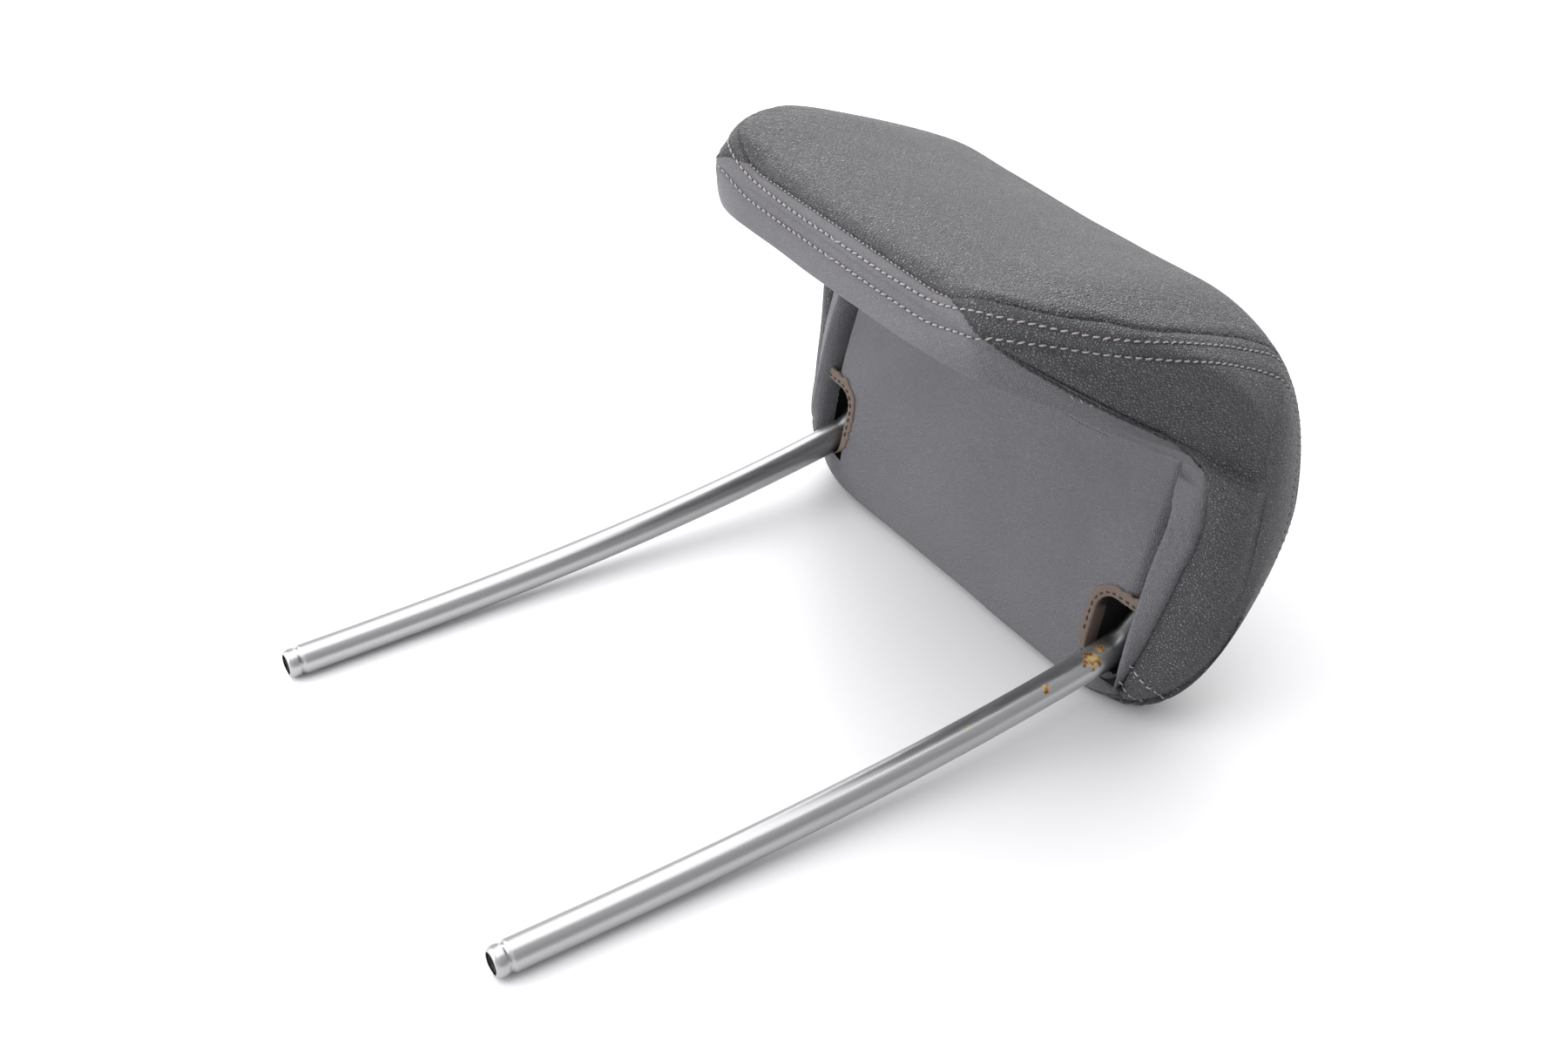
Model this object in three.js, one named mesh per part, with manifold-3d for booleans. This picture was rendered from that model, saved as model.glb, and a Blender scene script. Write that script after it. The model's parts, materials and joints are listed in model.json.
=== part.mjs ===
// Rear-seat headrest: a leather-covered cushion with an overhanging lip, which tilts on a bent steel tube.
// Millimetres. It lies as it rests on a table: +Z up, posts toward -Y, +X toward the right wing.
// Lengths along Y are counted from the mouths of the posts, heights from the surface it lies on.
import * as THREE from 'three';
import { mergeVertices } from 'three/addons/utils/BufferGeometryUtils.js';
import Module from 'manifold-3d';

const wasm = await Module();
wasm.setup();

// Posts and cross bar, one bent tube
const POST_DIAMETER = 12;
const POST_WALL = 1.5;
const POST_SPACING = 183;
const POST_TIP_HEIGHT = 6;
const POST_ENTRY_Y = 258;
const POST_ENTRY_HEIGHT = 24.5;
const POST_ENTRY_SLOPE = 10.3;
const BAR_Y = 293;
const BAR_HEIGHT = 56;
const BEND_RADIUS = 22;
const BEND_SLOPE = 45;
const TIP_BEAD_DIAMETER = 11.5;
const TIP_MOUTH_DIAMETER = 9;
const TIP_NECK_DIAMETER = 10.8;
const TIP_LENGTH = 6.5;
const TUBE_SIDES = 12;

// Cushion
const CUSHION_WIDTH = 258;
const CUSHION_REAR_Y = 339.5;
const CROWN_HEIGHT = 182;
const LIP_FRONT_Y = 191.6;
const LIP_HEIGHT = 173;
const FOLD_Y = 274;
const FOLD_HEIGHT = 96;
const EDGE_Y = 251.2;
const EDGE_HEIGHT = 9.5;
const FOOT_FRONT_Y = 261;
const FOOT_BACK_Y = 271;
const CROWN_RISE = 4.35;
const SHOULDER_RISE = 2.5;
const REAR_DRAW = 5.75;
const CORNER_RISE = 6;
const CORNER_RISE_AT_LIP = 2.5;
const CORNER_FROM = 52;
const CORNER_RUN = 32;
const LEATHER = 2;
const FOAM_GAP = 0.35;
const SEAM_GAP = 0.3;
const FINEST_EDGE = 0.12;
const LIP_SEAM_HALF = 62.5;

// Slots in the recess panel, wider than the posts by a clearance on each side
const SLOT_CLEARANCE = 2.5;
const SLOT_BOTTOM = 13.5;
const SLOT_TOP = 52;
const SLOT_CORNER = 7;
const BINDING_WIDTH = 4.5;
const POCKET_CLEARANCE = 6.5;
const POCKET_INNER = 58;

// Carrier, the plastic box on the cross bar
const CARRIER_HALF = 60;
const CARRIER_DEPTH = 28;
const CARRIER_HEIGHT = 36;
const CARRIER_WALL = 2.5;
const CARRIER_CORNER = 4;
const RIB = 3;
const BAYS = 5;
const PARTING_GAP = 0.3;
const CORE_GAP = 0.4;

// Friction bushes, their clamps and the screws
const BUSH_LENGTH = 17;
const BUSH_WALL = 2;
const BUSH_SPLIT = 1.2;
const RUNNING_GAP = 0.15;
const CLAMP_THICKNESS = 1.5;
const CLAMP_WIDTH = 12;
const CLAMP_EAR = 15.2;
const EAR_HOLE_HEIGHT = 12.6;
const SMALL_SCREW = 2.6;
const SMALL_HEAD = 5;
const SMALL_HEAD_HEIGHT = 1.8;
const SMALL_LENGTH = 8;
const SMALL_BOSS_WALL = 1.6;
const CASE_SCREW = 3.4;
const CASE_HEAD = 6.4;
const CASE_HEAD_HEIGHT = 2.2;
const CASE_LENGTH = 20;
const CASE_BOSS = 9;
const CASE_SCREW_HEIGHT = 11.5;
const HEAD_RECESS = 1;
const BAR_CLEARANCE = 0.5;
const PANEL_ZONE = [200, 300, -10, 130];
const SEAT = 0.3;

const DEG = Math.PI / 180;
const HALF_WIDTH = CUSHION_WIDTH / 2;
const POST_X = POST_SPACING / 2;
const TUBE_RADIUS = POST_DIAMETER / 2;
const TOTAL_LENGTH = CUSHION_REAR_Y;
const PANEL_HALF = POST_X + TUBE_RADIUS + SLOT_CLEARANCE;
const SLOT_INNER = POST_X - TUBE_RADIUS - SLOT_CLEARANCE;
const POCKET_OUTER = POST_X + TUBE_RADIUS + POCKET_CLEARANCE;

const LEATHER_GREY = new THREE.MeshStandardMaterial({ color: 0x6a696d, roughness: 0.55, metalness: 0 });
const PANEL_GREY = new THREE.MeshStandardMaterial({ color: 0x77767a, roughness: 0.6, metalness: 0 });
const RAW_EDGE = new THREE.MeshStandardMaterial({ color: 0x6b5b4c, roughness: 0.8, metalness: 0 });
const FOAM = new THREE.MeshStandardMaterial({ color: 0x3a3a3c, roughness: 0.95, metalness: 0 });
const STEEL = new THREE.MeshStandardMaterial({ color: 0xb9b9b7, roughness: 0.3, metalness: 1 });
const ZINC = new THREE.MeshStandardMaterial({ color: 0x9a9a95, roughness: 0.45, metalness: 1 });
const BLACK_PLASTIC = new THREE.MeshStandardMaterial({ color: 0x1d1d1f, roughness: 0.6, metalness: 0 });
const BUSH_PLASTIC = new THREE.MeshStandardMaterial({ color: 0xd8d4c8, roughness: 0.5, metalness: 0 });

// Solids from meshes, and back
function solidOf(geometry) {
  const bare = geometry.index ? geometry.toNonIndexed() : geometry.clone();
  bare.deleteAttribute('normal');
  bare.deleteAttribute('uv');
  const merged = mergeVertices(bare, 1e-4);
  return new wasm.Manifold(new wasm.Mesh({
    numProp: 3,
    vertProperties: new Float32Array(merged.attributes.position.array),
    triVerts: new Uint32Array(merged.index.array),
  }));
}

function geometryOf(solid) {
  const mesh = solid.getMesh();
  const geometry = new THREE.BufferGeometry();
  geometry.setAttribute('position', new THREE.BufferAttribute(new Float32Array(mesh.vertProperties), 3));
  geometry.setIndex(new THREE.BufferAttribute(new Uint32Array(mesh.triVerts), 1));
  geometry.computeVertexNormals();
  return geometry;
}

// Corners joined by an edge shorter than the finest detail become one, so that no sliver facet is left
function geometryWithoutSlivers(solid) {
  const { vertProperties: place, triVerts: corners } = solid.getMesh();
  const at = (k) => new THREE.Vector3().fromArray(place, k * 3);
  const root = Array.from({ length: place.length / 3 }, (_, k) => k);
  const find = (k) => (root[k] === k ? k : find(root[k]));
  for (let k = 0; k < corners.length; k += 3) {
    for (let edge = 0; edge < 3; edge += 1) {
      const from = find(corners[k + edge]);
      const to = find(corners[k + (edge + 1) % 3]);
      if (from !== to && at(from).distanceTo(at(to)) < FINEST_EDGE) root[Math.max(from, to)] = Math.min(from, to);
    }
  }
  const faces = new Map();
  for (let k = 0; k < corners.length; k += 3) {
    const face = [find(corners[k]), find(corners[k + 1]), find(corners[k + 2])];
    if (new Set(face).size < 3) continue;
    const key = [...face].sort((m, n) => m - n).join(' ');
    if (faces.has(key)) faces.delete(key);
    else faces.set(key, face);
  }
  const geometry = new THREE.BufferGeometry();
  geometry.setAttribute('position', new THREE.BufferAttribute(new Float32Array(place), 3));
  geometry.setIndex([...faces.values()].flat());
  return mergeVertices(geometry, 1e-4);
}

// The largest closed body of a solid: slivers that a seam cut leaves beside a panel are trimmed off
function largestBody(solid) {
  const { vertProperties: place, triVerts: corners } = solid.getMesh();
  const root = Array.from({ length: place.length / 3 }, (_, k) => k);
  const find = (k) => {
    let top = k;
    while (root[top] !== top) top = root[top];
    root[k] = top;
    return top;
  };
  for (let k = 0; k < corners.length; k += 3) {
    root[find(corners[k])] = find(corners[k + 1]);
    root[find(corners[k])] = find(corners[k + 2]);
  }
  const volumes = new Map();
  const a = new THREE.Vector3();
  const b = new THREE.Vector3();
  const c = new THREE.Vector3();
  for (let k = 0; k < corners.length; k += 3) {
    a.fromArray(place, corners[k] * 3);
    b.fromArray(place, corners[k + 1] * 3);
    c.fromArray(place, corners[k + 2] * 3);
    const body = find(corners[k]);
    volumes.set(body, (volumes.get(body) ?? 0) + a.dot(b.cross(c)) / 6);
  }
  const [main] = [...volumes].sort((p, q) => q[1] - p[1])[0];
  const kept = [];
  for (let k = 0; k < corners.length; k += 3) {
    if (find(corners[k]) === main) kept.push(corners[k], corners[k + 1], corners[k + 2]);
  }
  const geometry = new THREE.BufferGeometry();
  geometry.setAttribute('position', new THREE.BufferAttribute(new Float32Array(place), 3));
  geometry.setIndex(kept);
  return solidOf(geometry);
}

// A closed mesh through rings of equal length, with a fan over each end and its facets mirrored at the middle
function loft(rings, endA, endB) {
  const count = rings[0].length;
  const points = rings.flat();
  const first = points.push(endA) - 1;
  const last = points.push(endB) - 1;
  const index = [];
  for (let ring = 0; ring + 1 < rings.length; ring += 1) {
    for (let k = 0; k < count; k += 1) {
      const a = ring * count + k;
      const b = ring * count + (k + 1) % count;
      if (2 * ring < rings.length - 1) index.push(a, b, a + count, b, b + count, a + count);
      else index.push(a, b, b + count, a, b + count, a + count);
    }
  }
  const top = (rings.length - 1) * count;
  for (let k = 0; k < count; k += 1) {
    const next = (k + 1) % count;
    index.push(first, next, k, last, top + k, top + next);
  }
  const geometry = new THREE.BufferGeometry().setFromPoints(points);
  geometry.setIndex(index);
  return geometry;
}

// Prisms: an outline in the side view (Y, Z) run along X, or in the front view (X, Z) run along Y
function prismX(shape, fromX, toX, curveSegments = 8) {
  const geometry = new THREE.ExtrudeGeometry(shape, { depth: toX - fromX, bevelEnabled: false, curveSegments });
  const turn = new THREE.Matrix4().makeBasis(
    new THREE.Vector3(0, 1, 0), new THREE.Vector3(0, 0, 1), new THREE.Vector3(1, 0, 0));
  return solidOf(geometry.applyMatrix4(turn).translate(fromX, 0, 0));
}

function prismY(shape, fromY, toY, curveSegments = 8) {
  const geometry = new THREE.ExtrudeGeometry(shape, { depth: toY - fromY, bevelEnabled: false, curveSegments });
  const turn = new THREE.Matrix4().makeBasis(
    new THREE.Vector3(1, 0, 0), new THREE.Vector3(0, 0, 1), new THREE.Vector3(0, -1, 0));
  return solidOf(geometry.applyMatrix4(turn).translate(0, toY, 0));
}

function prismZ(shape, fromZ, toZ) {
  const geometry = new THREE.ExtrudeGeometry(shape, { depth: toZ - fromZ, bevelEnabled: false });
  return solidOf(geometry.translate(0, 0, fromZ));
}

function block(x0, x1, y0, y1, z0, z1) {
  const geometry = new THREE.BoxGeometry(x1 - x0, y1 - y0, z1 - z0);
  return solidOf(geometry.translate((x0 + x1) / 2, (y0 + y1) / 2, (z0 + z1) / 2));
}

function rodX(radius, fromX, toX, y, z, sides = 24) {
  const geometry = new THREE.CylinderGeometry(radius, radius, toX - fromX, sides).rotateZ(Math.PI / 2);
  return solidOf(geometry.translate((fromX + toX) / 2, y, z));
}

function rodY(radius, fromY, toY, x, z, sides = 16) {
  const geometry = new THREE.CylinderGeometry(radius, radius, toY - fromY, sides);
  return solidOf(geometry.translate(x, (fromY + toY) / 2, z));
}

// The cushion's side profile: each knot has its place, heading and handle lengths at the middle and at the
// side face, and the law by which it draws in between them: from where, to where, and how roundly
const PROFILE = [
  { name: 'foot back', mid: [FOOT_BACK_Y, 0, 10.5, 16, 22], side: [279, 56.5, 60, 8, 12], law: [84.5, 129, 2], parts: 5 },
  { name: 'rear', mid: [CUSHION_REAR_Y, 89, 92, 34, 30], side: [297, 94.5, 92, 18, 14], law: [78.5, 129, 2], parts: 5 },
  { name: 'shoulder', mid: [302, 158.5, 153.5, 20, 20], side: [285.5, 125, 150, 8, 5], law: [64.5, 129, 2], parts: 5 },
  { name: 'crown', mid: [221, CROWN_HEIGHT, 180, 18, 16], side: [282, 131, 190, 4, 4], law: [76, 129, 2], parts: 4 },
  { name: 'seam', mid: [195.6, 178.6, 222, 9, 3], side: [276.5, 126.5, 235, 3, 3], law: [68, 124, 1.87], parts: 2 },
  { name: 'lip', mid: [LIP_FRONT_Y, LIP_HEIGHT, 272, 2.5, 3], side: [273.5, 121, 270, 3, 3], law: [80, 120.5, 1.43], parts: 2 },
  { name: 'under', mid: [186, 161.5, 332, 4, 7.5], side: [273.5, 116, 290, 3, 4], law: [51.5, 124.5, 1.86], parts: 6 },
  { name: 'fold top', mid: [FOLD_Y, FOLD_HEIGHT + 3, 289, 46, 0], side: [271, 103, 270, 4, 3], law: [91, 129, 2], parts: 1 },
  { name: 'fold low', mid: [FOLD_Y + 0.6, FOLD_HEIGHT, 262, 0, 10], side: [271, 93, 268, 3, 10], law: [91, 129, 2], parts: 4 },
  { name: 'edge', mid: [EDGE_Y, EDGE_HEIGHT, 265, 30, 4], side: [273, 58.5, 268, 12, 3], law: [73, 129, 2], parts: 2 },
  { name: 'foot front', mid: [FOOT_FRONT_Y, 0, 0, 4, 3], side: [275, 53, 20, 3, 3], law: [76, 129, 2], parts: 1 },
];
const SPINE = [287, 108];
const STATIONS = 20;

function smooth(t) {
  const u = Math.min(1, Math.max(0, t));
  return u * u * (3 - 2 * u);
}

function knotAt(knot, x) {
  const [from, to, power] = knot.law;
  const t = Math.min(1, Math.max(0, (Math.abs(x) - from) / (to - from)));
  const draw = 1 - (1 - t ** power) ** (1 / power);
  const value = knot.mid.map((mid, k) => mid + (knot.side[k] - mid) * draw);
  const reach = (x / 100) ** 2;
  const corner = smooth((Math.abs(x) - CORNER_FROM) / CORNER_RUN) * (1 - draw);
  if (knot.name === 'crown') value[1] += CROWN_RISE * reach;
  if (knot.name === 'shoulder') value[1] += SHOULDER_RISE * reach;
  if (knot.name === 'rear') value[0] -= REAR_DRAW * reach;
  if (knot.name === 'seam') value[1] += CORNER_RISE * corner;
  if (knot.name === 'lip') value[1] += CORNER_RISE_AT_LIP * corner;
  return value;
}

function sectionAt(x) {
  const knots = PROFILE.map((knot) => knotAt(knot, x));
  const outline = [];
  knots.forEach(([y, z, heading, , out], k) => {
    const [y1, z1, heading1, reachIn] = knots[(k + 1) % knots.length];
    const curve = new THREE.CubicBezierCurve(
      new THREE.Vector2(y, z),
      new THREE.Vector2(y + out * Math.cos(heading * DEG), z + out * Math.sin(heading * DEG)),
      new THREE.Vector2(y1 - reachIn * Math.cos(heading1 * DEG), z1 - reachIn * Math.sin(heading1 * DEG)),
      new THREE.Vector2(y1, z1));
    outline.push(...curve.getPoints(PROFILE[k].parts).slice(0, -1));
  });
  return outline;
}

// A section drawn in along its normals; points that come too near to another side are evened out
function drawnIn(outline, inset) {
  if (inset === 0) return outline;
  const count = outline.length;
  const moved = outline.map((point, k) => {
    const before = outline[(k + count - 1) % count];
    const after = outline[(k + 1) % count];
    const first = new THREE.Vector2(point.y - before.y, before.x - point.x).normalize();
    const second = new THREE.Vector2(after.y - point.y, point.x - after.x).normalize();
    const normal = first.clone().add(second).normalize();
    return point.clone().addScaledVector(normal, -inset / Math.max(0.75, normal.dot(first)));
  });
  const nearest = new THREE.Vector3();
  const clear = moved.map((point) => outline.every((start, k) => {
    const end = outline[(k + 1) % count];
    const edge = new THREE.Line3(new THREE.Vector3(start.x, start.y, 0), new THREE.Vector3(end.x, end.y, 0));
    edge.closestPointToPoint(new THREE.Vector3(point.x, point.y, 0), true, nearest);
    return Math.hypot(nearest.x - point.x, nearest.y - point.y) > inset * 0.97;
  }));
  return moved.map((point, k) => {
    if (clear[k]) return point;
    let back = 1;
    while (!clear[(k - back + count) % count]) back += 1;
    let ahead = 1;
    while (!clear[(k + ahead) % count]) ahead += 1;
    return moved[(k - back + count) % count].clone().lerp(moved[(k + ahead) % count], back / (back + ahead));
  });
}

// The cushion's form, drawn in by a wall
function cushion(inset) {
  const rings = [];
  for (let station = 0; station <= STATIONS; station += 1) {
    const along = Math.sin((station / STATIONS - 0.5) * Math.PI);
    const outline = sectionAt(along * HALF_WIDTH);
    const x = along * (HALF_WIDTH - inset);
    rings.push(drawnIn(outline, inset).map((point) => new THREE.Vector3(x, point.x, point.y)));
  }
  const end = HALF_WIDTH - inset;
  return solidOf(loft(rings,
    new THREE.Vector3(-end, ...SPINE), new THREE.Vector3(end, ...SPINE)));
}

// Cutters along the seams
function smoothOutline(points) {
  const curve = new THREE.CatmullRomCurve3(points.map(([a, b]) => new THREE.Vector3(a, b, 0)), true, 'centripetal');
  return new THREE.Shape(curve.getPoints(points.length * 2).map((p) => new THREE.Vector2(p.x, p.y)));
}

// The side gusset in the side view
const GUSSET = [
  [194.5, 181.5], [201, 184.8], [209, 183.6], [217, 181.2], [237, 177], [258, 170], [284, 160], [300, 152],
  [311, 143], [316.5, 125], [318, 105], [315.5, 80], [307, 52], [296, 30], [281, 12], [268, 4], [256, 4],
  [247, 12], [252, 40], [259, 70], [262, 95], [252, 112], [230, 128], [208, 142], [192, 156], [184, 168],
  [188, 179],
];
// The seam between underside and gusset: from above, round the lip's corner and back to the wing
const UNDER_SEAM = [
  [85, 180], [86, 191], [88, 198], [92, 202], [98, 211], [106, 225], [110, 233], [113, 242], [116, 249],
  [118.5, 256], [119.5, 264], [119, 276],
];
// The upper limit of that seam's cut in the side view
const UNDER_LIMIT = [[180, 178.6], [197, 178.6], [206, 174.5], [225, 166], [250, 152], [270, 134], [276, 118]];
// The wing's front seam in the front view, from the floor to the fold: distance past the recess panel, height
const WING_SEAM = [
  [1, -10], [1, 12], [3, 20], [6, 27], [9, 37], [11.5, 48], [14, 59], [15.5, 71], [16, 92], [17, 107], [18, 116],
  [19, 124],
].map(([x, z]) => [PANEL_HALF + x, z]);

// The region of one side gusset; grow widens it for the cut in the panels that it joins
function gusset(grow) {
  const side = prismX(smoothOutline(GUSSET), LIP_SEAM_HALF, HALF_WIDTH + 10);
  const strip = new THREE.Shape([
    new THREE.Vector2(50, -10),
    ...WING_SEAM.map(([x, z]) => new THREE.Vector2(x - grow, z)),
    new THREE.Vector2(50, WING_SEAM.at(-1)[1]),
  ]);
  const under = new THREE.Shape([
    new THREE.Vector2(50, UNDER_SEAM[0][1]),
    ...UNDER_SEAM.map(([x, y]) => new THREE.Vector2(x - grow, y)),
    new THREE.Vector2(50, UNDER_SEAM.at(-1)[1]),
  ]);
  const limit = new THREE.Shape([
    new THREE.Vector2(UNDER_LIMIT[0][0], 90),
    ...UNDER_LIMIT.map(([y, z]) => new THREE.Vector2(y, z - grow)),
    new THREE.Vector2(UNDER_LIMIT.at(-1)[0], 90),
  ]);
  const lip = prismZ(under, 95, 190).intersect(prismX(limit, LIP_SEAM_HALF - 5, HALF_WIDTH));
  return side.subtract(prismY(strip, EDGE_Y - 15, FOLD_Y + 8)).subtract(lip);
}

function mirrored(solid) {
  const geometry = geometryOf(solid).toNonIndexed().scale(-1, 1, 1);
  const position = geometry.attributes.position;
  const corner = new THREE.Vector3();
  const other = new THREE.Vector3();
  for (let k = 0; k < position.count; k += 3) {
    corner.fromBufferAttribute(position, k + 1);
    other.fromBufferAttribute(position, k + 2);
    position.setXYZ(k + 1, other.x, other.y, other.z);
    position.setXYZ(k + 2, corner.x, corner.y, corner.z);
  }
  return solidOf(geometry);
}

// A wedge of the side view from the spine, between the directions of two seam points, run across the cushion
function sector(from, to, gap = SEAM_GAP) {
  const angleOf = ([y, z]) => Math.atan2(z - SPINE[1], y - SPINE[0]);
  const reachOf = ([y, z]) => Math.hypot(z - SPINE[1], y - SPINE[0]);
  const start = angleOf(from) + gap / 2 / reachOf(from);
  let end = angleOf(to) - gap / 2 / reachOf(to);
  if (end < start) end += 2 * Math.PI;
  const steps = Math.ceil((end - start) / 0.6);
  const points = [new THREE.Vector2(...SPINE)];
  for (let k = 0; k <= steps; k += 1) {
    const angle = start + (end - start) * k / steps;
    points.push(new THREE.Vector2(SPINE[0] + 400 * Math.cos(angle), SPINE[1] + 400 * Math.sin(angle)));
  }
  return prismX(new THREE.Shape(points), -HALF_WIDTH - 5, HALF_WIDTH + 5);
}

function roundedRect(x0, x1, z0, z1, radius) {
  const shape = new THREE.Shape();
  shape.moveTo(x0 + radius, z0);
  shape.absarc(x1 - radius, z0 + radius, radius, -Math.PI / 2, 0);
  shape.absarc(x1 - radius, z1 - radius, radius, 0, Math.PI / 2);
  shape.absarc(x0 + radius, z1 - radius, radius, Math.PI / 2, Math.PI);
  shape.absarc(x0 + radius, z0 + radius, radius, Math.PI, Math.PI * 1.5);
  return shape;
}

// The slot in the recess panel, widened by a border, run along the posts
function slot(border, fromY, toY) {
  const shape = roundedRect(SLOT_INNER - border, PANEL_HALF + 8, SLOT_BOTTOM - border, SLOT_TOP + border,
    SLOT_CORNER + border / 2);
  return prismY(shape, fromY, toY, 5);
}

const outer = cushion(0);
const skin = outer.subtract(cushion(LEATHER));
const core = cushion(LEATHER + FOAM_GAP);

// Seam points of the centre panels in the side view
const LIP_SEAM = [195.6, 178.9];
const REAR_SEAM = [CUSHION_REAR_Y, 96];
const EDGE_SEAM = [EDGE_Y + 2.5, EDGE_HEIGHT - 5];
const FOLD_SEAM = [FOLD_Y, FOLD_HEIGHT + 1];

function leatherPanels() {
  const rightRegion = gusset(0);
  const wide = gusset(SEAM_GAP);
  const centre = skin
    .subtract(grownGusset(wide))
    .subtract(mirrored(grownGusset(wide)));
  const recessRing = centre.intersect(sector(FOLD_SEAM, EDGE_SEAM));
  const panelBlock = block(-PANEL_HALF + SEAM_GAP / 2, PANEL_HALF - SEAM_GAP / 2, ...PANEL_ZONE);
  const stripBlock = block(PANEL_HALF + SEAM_GAP / 2, HALF_WIDTH, ...PANEL_ZONE);
  const opening = slot(BINDING_WIDTH + SEAM_GAP, EDGE_Y - 12, FOLD_Y + 4);
  const rightStrip = largestBody(recessRing.intersect(stripBlock));
  const rightSide = largestBody(skin.intersect(rightRegion));
  const binding = skin
    .intersect(slot(BINDING_WIDTH, EDGE_Y - 12, FOLD_Y + 4))
    .subtract(slot(0, EDGE_Y - 14, FOLD_Y + 6))
    .intersect(panelBlock)
    .intersect(sector(FOLD_SEAM, EDGE_SEAM));
  return {
    front_panel: largestBody(centre.intersect(sector(REAR_SEAM, LIP_SEAM))),
    underside_panel: largestBody(centre.intersect(sector(LIP_SEAM, FOLD_SEAM))),
    back_panel: largestBody(centre.intersect(sector(EDGE_SEAM, REAR_SEAM))),
    recess_panel: largestBody(recessRing.intersect(panelBlock).subtract(opening).subtract(mirrored(opening))),
    return_strip_right: rightStrip,
    return_strip_left: mirrored(rightStrip),
    side_panel_right: rightSide,
    side_panel_left: mirrored(rightSide),
    slot_binding_right: largestBody(binding),
    slot_binding_left: mirrored(largestBody(binding)),
  };
}

// The cut for a gusset in its neighbours: the region moved apart by the seam gap in four directions
function grownGusset(region) {
  return [[0, SEAM_GAP, 0], [0, -SEAM_GAP, 0], [0, 0, SEAM_GAP], [0, 0, -SEAM_GAP], [-SEAM_GAP, 0, 0]]
    .map((step) => solidOf(geometryOf(region).translate(...step)))
    .reduce((sum, solid) => sum.add(solid));
}

// Post tube: centreline from the left mouth over the cross bar to the right mouth
function centreline() {
  const slope = Math.tan(POST_ENTRY_SLOPE * DEG);
  const turn = BEND_SLOPE * DEG;
  const bend = new THREE.Vector3(
    POST_X, BAR_Y - BEND_RADIUS * Math.cos(turn), BAR_HEIGHT - BEND_RADIUS * Math.sin(turn));
  const entry = new THREE.Vector3(POST_X, POST_ENTRY_Y, POST_ENTRY_HEIGHT);
  const leg = new THREE.CubicBezierCurve3(
    new THREE.Vector3(POST_X, 0, POST_TIP_HEIGHT),
    new THREE.Vector3(POST_X, POST_ENTRY_Y / 3, POST_TIP_HEIGHT),
    new THREE.Vector3(POST_X, POST_ENTRY_Y * 2 / 3, POST_ENTRY_HEIGHT - slope * POST_ENTRY_Y / 3),
    entry);
  const reach = entry.distanceTo(bend) / 3;
  const rise = new THREE.CubicBezierCurve3(
    entry,
    new THREE.Vector3(POST_X, entry.y + reach, entry.z + reach * slope),
    new THREE.Vector3(POST_X, bend.y - reach * Math.cos(turn), bend.z - reach * Math.sin(turn)),
    bend);
  const half = [...tipDistances().map((d) => new THREE.Vector3(POST_X, d, POST_TIP_HEIGHT))];
  half.push(...leg.getPoints(10).slice(1), ...rise.getPoints(3).slice(1));
  const bendSteps = 6;
  for (let k = 1; k <= bendSteps; k += 1) {
    const angle = Math.PI / 2 * k / bendSteps;
    half.push(new THREE.Vector3(
      POST_X - BEND_RADIUS * (1 - Math.cos(angle)),
      bend.y + BEND_RADIUS * Math.sin(angle) * Math.cos(turn),
      bend.z + BEND_RADIUS * Math.sin(angle) * Math.sin(turn)));
  }
  const left = half.map((p) => new THREE.Vector3(-p.x, p.y, p.z));
  return [...left, ...half.reverse()];
}

// Formed tip: rounded mouth, bead, neck and shoulder, as distance from the mouth and outer radius
const TIP_FORM = [
  [0, TIP_MOUTH_DIAMETER / 2], [TIP_LENGTH * 0.12, TIP_MOUTH_DIAMETER / 2 + 0.8],
  [TIP_LENGTH * 0.35, TIP_BEAD_DIAMETER / 2], [TIP_LENGTH * 0.7, TIP_BEAD_DIAMETER / 2],
  [TIP_LENGTH * 0.85, TIP_NECK_DIAMETER / 2], [TIP_LENGTH, TUBE_RADIUS],
];

function tipDistances() {
  return TIP_FORM.map(([distance]) => distance);
}

function postTube() {
  const line = centreline();
  const rings = (inward) => {
    let normal = new THREE.Vector3(0, 0, 1);
    return line.map((point, k) => {
      const tangent = line[Math.min(k + 1, line.length - 1)].clone().sub(line[Math.max(k - 1, 0)]).normalize();
      normal.addScaledVector(tangent, -normal.dot(tangent)).normalize();
      const side = new THREE.Vector3().crossVectors(tangent, normal);
      const fromTip = Math.min(k, line.length - 1 - k);
      const outside = fromTip < TIP_FORM.length ? TIP_FORM[fromTip][1] : TUBE_RADIUS;
      const radius = inward ? Math.min(outside - 0.6, TUBE_RADIUS - POST_WALL) : outside;
      const ring = [];
      for (let j = 0; j < TUBE_SIDES; j += 1) {
        const angle = 2 * Math.PI * j / TUBE_SIDES;
        ring.push(point.clone()
          .addScaledVector(normal, radius * Math.cos(angle))
          .addScaledVector(side, radius * Math.sin(angle)));
      }
      normal = normal.clone();
      return ring;
    });
  };
  const loop = [...rings(false), ...rings(true).reverse()];
  const count = TUBE_SIDES;
  const index = [];
  for (let ring = 0; ring < loop.length; ring += 1) {
    const next = (ring + 1) % loop.length;
    for (let k = 0; k < count; k += 1) {
      const l = (k + 1) % count;
      index.push(ring * count + k, ring * count + l, next * count + l);
      index.push(ring * count + k, next * count + l, next * count + k);
    }
  }
  const geometry = new THREE.BufferGeometry().setFromPoints(loop.flat());
  geometry.setIndex(index);
  return solidOf(geometry);
}

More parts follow.
